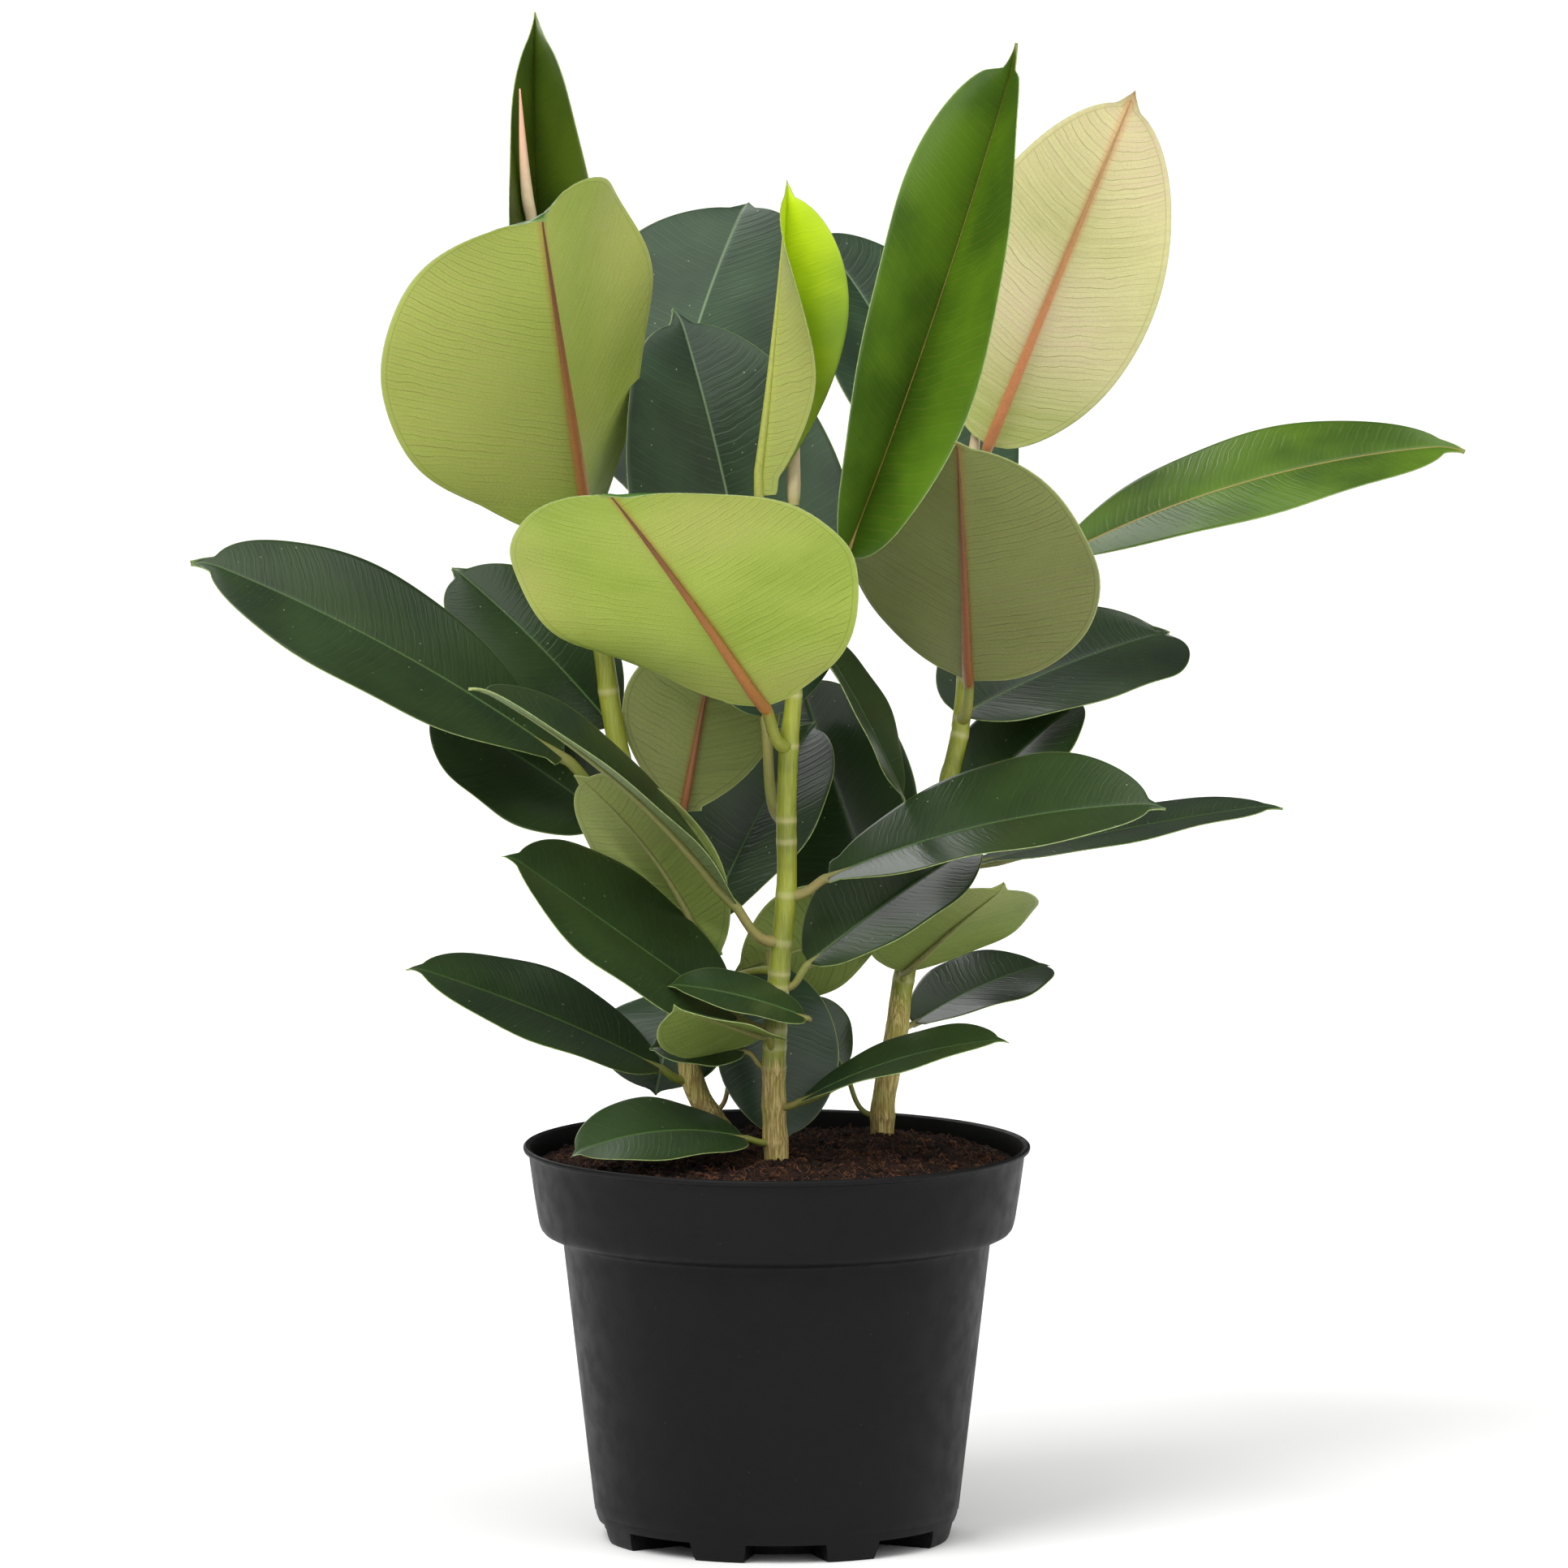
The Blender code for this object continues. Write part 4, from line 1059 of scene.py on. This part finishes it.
def peat_height(x, y):
    """The peat's surface in mm, with its crumbs and hollows."""
    place = Vector((x, y, 0.0))
    coarse = noise.fractal(place * 0.075, 1.0, 2.2, 3)
    crumbs = noise.turbulence(place * 0.30, 3, False)
    fine = noise.noise(place * 1.3)
    reach = math.hypot(x, y) / SOIL_EDGE
    ease = min(1.0, (1.02 - reach) * 12)
    rough = 1.3 * coarse + 2.4 * (crumbs - 0.55) + 0.8 * fine
    return SOIL_TOP + soil_rise(x, y) + rough * max(0.25, ease)


def peat_material(name, dark, light, fleck):
    material, tree, shader = new_material(name, 0.88, Specular_IOR_Level=0.25)
    mottle = use_group(tree, "Plant Mottle", Scale=85.0)
    colour = blend(tree, mottle["Patches"], dark, light)
    colour = tinge(tree, mottle["Grain"], 0.5, colour, dark)
    colour = tinge(tree, attribute(tree, "tint"), 0.85, colour, fleck)
    dots = use_group(tree, "Pale Specks", Scale=420.0, Size=0.22, Share=0.10)["Dots"]
    colour = tinge(tree, dots, 0.35, colour, fleck)
    rough = ranged(tree, mottle["Fine"], 0.78, 0.95)
    height = maths(tree, "ADD", mottle["Grain"], maths(tree, "MULTIPLY", mottle["Fine"], 0.5))
    feed(tree, shader, colour, rough, height, depth=0.0006)
    return material


def build_peat_bed(looks):
    """The peat's body: a crumbly top, and sides and a bottom that follow the pot's inside."""
    points, faces = [(0.0, 0.0, peat_height(0, 0) * MM)], []
    radii = [SOIL_EDGE * (i / SOIL_RINGS) ** 0.9 for i in range(1, SOIL_RINGS + 1)]
    turns = [2 * math.pi * k / SOIL_SECTORS for k in range(SOIL_SECTORS)]
    for radius in radii:
        for turn in turns:
            x, y = radius * math.cos(turn), radius * math.sin(turn)
            points.append((x * MM, y * MM, peat_height(x, y) * MM))
    for radius, height in PEAT_SIDES:
        for turn in turns:
            points.append((radius * math.cos(turn) * MM, radius * math.sin(turn) * MM, height * MM))
    rings = len(radii) + len(PEAT_SIDES)
    for k in range(SOIL_SECTORS):
        faces.append((0, 1 + k, 1 + (k + 1) % SOIL_SECTORS))
    for r in range(rings - 1):
        low, high = 1 + r * SOIL_SECTORS, 1 + (r + 1) * SOIL_SECTORS
        for k in range(SOIL_SECTORS):
            j = (k + 1) % SOIL_SECTORS
            faces.append((low + k, high + k, high + j, low + j))
    last = 1 + (rings - 1) * SOIL_SECTORS
    faces.append(tuple(last + k for k in reversed(range(SOIL_SECTORS))))
    tints = [0.25 * max(0.0, noise.noise(Vector(p) * 160)) for p in points]
    material = peat_material("peat", looks.peat_dark, looks.peat_light, (0.13, 0.050, 0.024))
    mesh = mesh_of("peat_bed", points, faces, [material], None, {"tint": tints})
    bed = add_object("peat_bed", mesh, "soil", slot="soil")
    inner, top = POCKET_INNER - POCKET_ROOM, POCKET_HEIGHT + POCKET_ROOM
    rooms = sector_blocks("pocket_rooms", inner, 80, -1, top, POCKET_HALF_ANGLE + 1.7)
    cut_with(bed, rooms, "DIFFERENCE")
    bed.data.shade_smooth()
    return bed


def clear_of_stems(x, y, gap):
    return all(math.hypot(x - s[1][0], y - s[1][1]) > s[1][3] + gap for s in STEMS.values())


def scatter_place(rng, gap=0.6):
    """A random place on the peat, away from the stems."""
    while True:
        reach, turn = PEAT_REACH * math.sqrt(rng.random()), rng.uniform(0, 2 * math.pi)
        x, y = reach * math.cos(turn), reach * math.sin(turn)
        if clear_of_stems(x, y, gap):
            return x, y


def build_crumbs(looks, count):
    """Lumps of peat and bits of bark, lying on the bed."""
    rng = random.Random(41)
    bm = bmesh.new()
    bmesh.ops.create_icosphere(bm, subdivisions=2 if count < 2000 else 1, radius=1.0)
    base = np.array([v.co for v in bm.verts])
    shape = [tuple(v.index for v in f.verts) for f in bm.faces]
    bm.free()
    points, faces, tints = [], [], []
    for _ in range(count):
        x, y = scatter_place(rng)
        size = min(LARGEST_CRUMB, rng.lognormvariate(-0.58, 0.55))
        stretch = np.array([size * rng.uniform(0.8, 1.7), size, size * rng.uniform(0.45, 0.8)])
        offset = Vector((rng.uniform(0, 99), rng.uniform(0, 99), rng.uniform(0, 99)))
        turn = Matrix.Rotation(rng.uniform(0, 6.28), 3, "Z") @ Matrix.Rotation(rng.gauss(0, 0.35), 3, "X")
        coarse = np.array([noise.noise(Vector(p) * 1.5 + offset) for p in base])
        fine = np.array([noise.noise(Vector(p) * 4 + offset) for p in base])
        rough = 1 + 0.55 * coarse + 0.35 * fine
        lump = (base * rough[:, None] * stretch) @ np.array(turn).T
        lump += np.array([x, y, peat_height(x, y) + size * 0.12])
        start = len(points)
        points += [tuple(p * MM) for p in lump]
        faces += [tuple(start + i for i in face) for face in shape]
        tints += [rng.choice(CRUMB_TINTS) * rng.random()] * len(base)
    material = peat_material("peat_crumbs", looks.peat_dark, looks.peat_light, (0.34, 0.13, 0.055))
    mesh = mesh_of("peat_crumbs", points, faces, [material], None, {"tint": tints})
    return add_object("peat_crumbs", mesh, slot="soil")


def build_fibres(looks, count):
    """Thin curled fibres and rootlets, lying on the bed."""
    rng = random.Random(57)
    points, faces, tints = [], [], []
    for _ in range(count):
        x, y = scatter_place(rng, 1.2)
        heading, curl = rng.uniform(0, 6.28), rng.gauss(0, 0.30)
        step = rng.uniform(1.5, 9.0) / FIBRE_RINGS
        tilt = rng.gauss(0, 0.22)
        path = []
        lift = 0.25
        for _ in range(FIBRE_RINGS):
            path.append((x, y, peat_height(x, y) + lift))
            heading += curl + rng.gauss(0, 0.15)
            x += math.cos(heading) * step
            y += math.sin(heading) * step
            if math.hypot(x, y) > FIBRE_REACH:
                x, y = x * 0.97, y * 0.97
            lift = min(2.2, max(0.1, lift + tilt * step))
        thick = rng.uniform(0.07, 0.19)
        radii = [thick * (1 - 0.5 * i / FIBRE_RINGS) for i in range(FIBRE_RINGS)]
        faces += ring_faces(FIBRE_RINGS, FIBRE_SIDES, start=len(points))
        points += [tuple(np.array(p) * MM) for p in sweep_tube(path, radii, FIBRE_SIDES)]
        tints += [rng.random() ** 1.4] * (FIBRE_SIDES * FIBRE_RINGS)
    material = peat_material("peat_fibres", looks.peat_light, (0.090, 0.040, 0.020), (0.42, 0.18, 0.08))
    mesh = mesh_of("peat_fibres", points, faces, [material], None, {"tint": tints})
    return add_object("peat_fibres", mesh, slot="soil")


# ----------------------------------------------------------------------------------------------------
# Settings


def colour_setting(name, description, default):
    return bpy.props.FloatVectorProperty(
        name=name, description=description, default=default, subtype="COLOR", size=3, min=0.0, max=1.0
    )


class RubberLeafSettings(bpy.types.PropertyGroup):
    """What a user would change about the leaves."""

    relief: bpy.props.FloatProperty(
        name="Vein Relief", description="Height of the swell between side veins", default=0.045 * MM,
        min=0.0, max=0.6 * MM, precision=6, subtype="DISTANCE", unit="LENGTH",
    )
    seed: bpy.props.IntProperty(
        name="Seed", description="Chooses the slight waviness of each leaf", default=11
    )


class RubberStemSettings(bpy.types.PropertyGroup):
    """Colours of the stems."""

    bark_dark: colour_setting("Bark Dark", "Colour in the bark's furrows", (0.36, 0.22, 0.070))
    bark_light: colour_setting("Bark Light", "Colour of the bark's ridges", (0.74, 0.58, 0.24))
    green_dark: colour_setting("Green Dark", "Darker green of the young stem", (0.14, 0.165, 0.006))
    green_light: colour_setting("Green Light", "Lighter green of the young stem", (0.25, 0.28, 0.013))


class RubberPotSettings(bpy.types.PropertyGroup):
    """Finish of the pot."""

    colour: colour_setting("Plastic", "Colour of the moulded plastic", (0.0040, 0.0040, 0.0043))
    roughness: bpy.props.FloatProperty(
        name="Roughness", description="Roughness of the plastic", default=0.46, min=0.0, max=1.0,
        subtype="FACTOR",
    )


class RubberSoilSettings(bpy.types.PropertyGroup):
    """Colours and loose bits of the peat."""

    peat_dark: colour_setting("Peat Dark", "Colour in the hollows", (0.0045, 0.0019, 0.0012))
    peat_light: colour_setting("Peat Light", "Colour of the crumbs", (0.046, 0.0175, 0.0090))
    crumbs: bpy.props.IntProperty(name="Crumbs", description="Number of loose lumps", default=4200, min=0)
    fibres: bpy.props.IntProperty(name="Fibres", description="Number of loose fibres", default=2400, min=0)


class RubberStudioSettings(bpy.types.PropertyGroup):
    """The camera and the floor."""

    distance: bpy.props.FloatProperty(
        name="Camera Distance", description="From the plant's middle to the camera", default=8.0,
        subtype="DISTANCE", unit="LENGTH",
    )
    tilt: bpy.props.FloatProperty(
        name="Camera Tilt", description="How far the camera looks down", default=math.radians(7.2),
        subtype="ANGLE", unit="ROTATION",
    )
    frame_width: bpy.props.FloatProperty(
        name="Frame Width", description="Width seen at the plant", default=0.6476,
        subtype="DISTANCE", unit="LENGTH",
    )
    floor: colour_setting("Floor", "Colour of the studio floor", (0.90, 0.90, 0.895))


# ----------------------------------------------------------------------------------------------------
# Operators


class PieceOperator:
    """What the operators share."""

    bl_options = {"REGISTER", "UNDO"}


class RUBBERPLANT_OT_pot(PieceOperator, bpy.types.Operator):
    """Moulds the nursery pot with its lip, collar, seam and drainage pockets"""

    bl_idname = "rubberplant.pot"
    bl_label = "Nursery Pot"

    def execute(self, context):
        profile = [(0, 1.5)] + list(POT_INSIDE) + list(POT_OUTSIDE) + [(0, 0)]
        pot = add_object("nursery_pot", revolve("nursery_pot", profile, POT_SEGMENTS), "pot", slot="pot")
        inner, top = POCKET_INNER - POCKET_WALL, POCKET_HEIGHT + POCKET_WALL
        shells = sector_blocks("pocket_shells", inner, 71.5, 0.2, top, POCKET_HALF_ANGLE + 1.2, 0.6)
        rooms = sector_blocks("pockets", POCKET_INNER, 80, -1, POCKET_HEIGHT, POCKET_HALF_ANGLE + 0.2, 1.2)
        cut_with(pot, shells, "UNION")
        cut_with(pot, rooms, "DIFFERENCE")
        cut_with(pot, drain_pins(), "DIFFERENCE")
        pot.data.materials.clear()
        pot.data.materials.append(pot_material("moulded_plastic"))
        pot.data.shade_smooth()
        pot.data.set_sharp_from_angle(angle=math.radians(40))
        return {"FINISHED"}


class RUBBERPLANT_OT_peat(PieceOperator, bpy.types.Operator):
    """Fills the pot with peat and scatters crumbs and fibres on it"""

    bl_idname = "rubberplant.peat"
    bl_label = "Peat"

    def execute(self, context):
        looks = context.scene.rubber_soil
        build_peat_bed(looks)
        build_crumbs(looks, looks.crumbs)
        build_fibres(looks, looks.fibres)
        return {"FINISHED"}


class RUBBERPLANT_OT_stems(PieceOperator, bpy.types.Operator):
    """Grows the three stems and their bud sheaths"""

    bl_idname = "rubberplant.stems"
    bl_label = "Stems and Sheaths"

    def execute(self, context):
        for name, points in STEMS.items():
            build_stem(name, points)
        for name, points in SHEATHS.items():
            build_sheath(name, points)
        return {"FINISHED"}


class RUBBERPLANT_OT_leaves(PieceOperator, bpy.types.Operator):
    """Grows the leaves of one stem"""

    bl_idname = "rubberplant.leaves"
    bl_label = "Leaves"

    stem: bpy.props.EnumProperty(
        name="Stem", description="The stem whose leaves are grown", default="stem_front",
        items=[(name, name.replace("_", " ").title(), "Leaves of this stem") for name in STEMS],
    )

    def execute(self, context):
        looks = context.scene.rubber_leaves
        for number, leaf in enumerate(LEAVES[self.stem]):
            build_leaf(leaf, STEMS[self.stem], looks.relief, looks.seed + 31 * number + len(self.stem))
        return {"FINISHED"}


class RUBBERPLANT_OT_studio(PieceOperator, bpy.types.Operator):
    """Sets out the floor, the soft lights and the camera"""

    bl_idname = "rubberplant.studio"
    bl_label = "Studio"

    def execute(self, context):
        looks = context.scene.rubber_studio
        self.lay_floor(looks)
        self.hang_lights(context)
        self.aim_camera(context, looks)
        return {"FINISHED"}

    def lay_floor(self, looks):
        bm = bmesh.new()
        bmesh.ops.create_circle(bm, cap_ends=True, segments=96, radius=FLOOR_RADIUS)
        mesh = mesh_from_bmesh("studio_floor", bm)
        material, tree, shader = new_material("studio_floor", 0.8)
        mottle = use_group(tree, "Plant Mottle", Scale=0.6)
        feed(tree, shader, blend(tree, mottle["Patches"], looks.floor, [c * 0.99 for c in looks.floor]))
        mesh.materials.append(material)
        floor = bpy.data.objects.new("studio_floor", mesh)
        bpy.context.scene.collection.objects.link(floor)

    def hang_lights(self, context):
        world = bpy.data.worlds.new("studio_air")
        world.use_nodes = True
        air = world.node_tree.nodes["Background"]
        air.inputs["Color"].default_value = (1.0, 1.0, 1.0, 1.0)
        way = put(world.node_tree, "ShaderNodeTexCoord").outputs["Generated"]
        way = put(world.node_tree, "ShaderNodeSeparateXYZ", values={"Vector": way}).outputs["Y"]
        glow = span(world.node_tree, way, -0.9, 0.6, 0.95, 0.10)
        world.node_tree.links.new(glow, air.inputs["Strength"])
        context.scene.world = world
        context.scene.view_settings.view_transform = "Standard"
        for name, place, strength, spread in SUNS:
            light = bpy.data.lights.new(name, "SUN")
            light.energy = strength
            light.angle = math.radians(spread)
            self.hang_lamp(context, light, place, (0, 0, 0))
        light = bpy.data.lights.new("strip_softbox", "AREA")
        light.shape = "RECTANGLE"
        light.size, light.size_y = SOFTBOX_SIZE
        light.energy = SOFTBOX_POWER
        self.hang_lamp(context, light, SOFTBOX_PLACE, (0, 0, 0.35))

    def hang_lamp(self, context, light, place, target):
        lamp = bpy.data.objects.new(light.name, light)
        lamp.location = place
        lamp.rotation_euler = (Vector(place) - Vector(target)).to_track_quat("Z", "Y").to_euler()
        context.scene.collection.objects.link(lamp)

    def aim_camera(self, context, looks):
        sight = Vector((0, math.cos(looks.tilt), -math.sin(looks.tilt)))
        camera = bpy.data.cameras.new("camera")
        camera.sensor_width = SENSOR_WIDTH
        camera.lens = SENSOR_WIDTH * looks.distance / looks.frame_width
        holder = bpy.data.objects.new("camera", camera)
        holder.location = Vector(SIGHT_CENTRE) - sight * looks.distance
        holder.rotation_euler = (math.pi / 2 - looks.tilt, 0.0, 0.0)
        context.scene.collection.objects.link(holder)
        context.scene.camera = holder


class RUBBERPLANT_PT_panel(bpy.types.Panel):
    """Lists the plant's pieces and settings"""

    bl_idname = "RUBBERPLANT_PT_panel"
    bl_label = "Potted Rubber Plant"
    bl_space_type = "VIEW_3D"
    bl_region_type = "UI"
    bl_category = "Rubber Plant"

    def draw(self, context):
        layout = self.layout
        for operator in (RUBBERPLANT_OT_pot, RUBBERPLANT_OT_peat, RUBBERPLANT_OT_stems):
            layout.operator(operator.bl_idname)
        for name in STEMS:
            layout.operator(RUBBERPLANT_OT_leaves.bl_idname, text=f"Leaves: {name}").stem = name
        layout.operator(RUBBERPLANT_OT_studio.bl_idname)
        for key, group in SETTINGS.items():
            box = layout.box()
            box.label(text=group.__doc__)
            for title in group.__annotations__:
                box.prop(getattr(context.scene, key), title)


SETTINGS = {
    "rubber_leaves": RubberLeafSettings,
    "rubber_stem": RubberStemSettings,
    "rubber_pot": RubberPotSettings,
    "rubber_soil": RubberSoilSettings,
    "rubber_studio": RubberStudioSettings,
}
CLASSES = (
    *SETTINGS.values(),
    RUBBERPLANT_OT_pot,
    RUBBERPLANT_OT_peat,
    RUBBERPLANT_OT_stems,
    RUBBERPLANT_OT_leaves,
    RUBBERPLANT_OT_studio,
    RUBBERPLANT_PT_panel,
)


def register():
    for cls in CLASSES:
        bpy.utils.register_class(cls)
    for key, group in SETTINGS.items():
        setattr(bpy.types.Scene, key, bpy.props.PointerProperty(type=group))


def unregister():
    for key in SETTINGS:
        delattr(bpy.types.Scene, key)
    for cls in reversed(CLASSES):
        bpy.utils.unregister_class(cls)


def main():
    register()
    bpy.ops.rubberplant.pot()
    bpy.ops.rubberplant.peat()
    bpy.ops.rubberplant.stems()
    for name in STEMS:
        bpy.ops.rubberplant.leaves(stem=name)
    bpy.ops.rubberplant.studio()


if __name__ == "__main__":
    main()
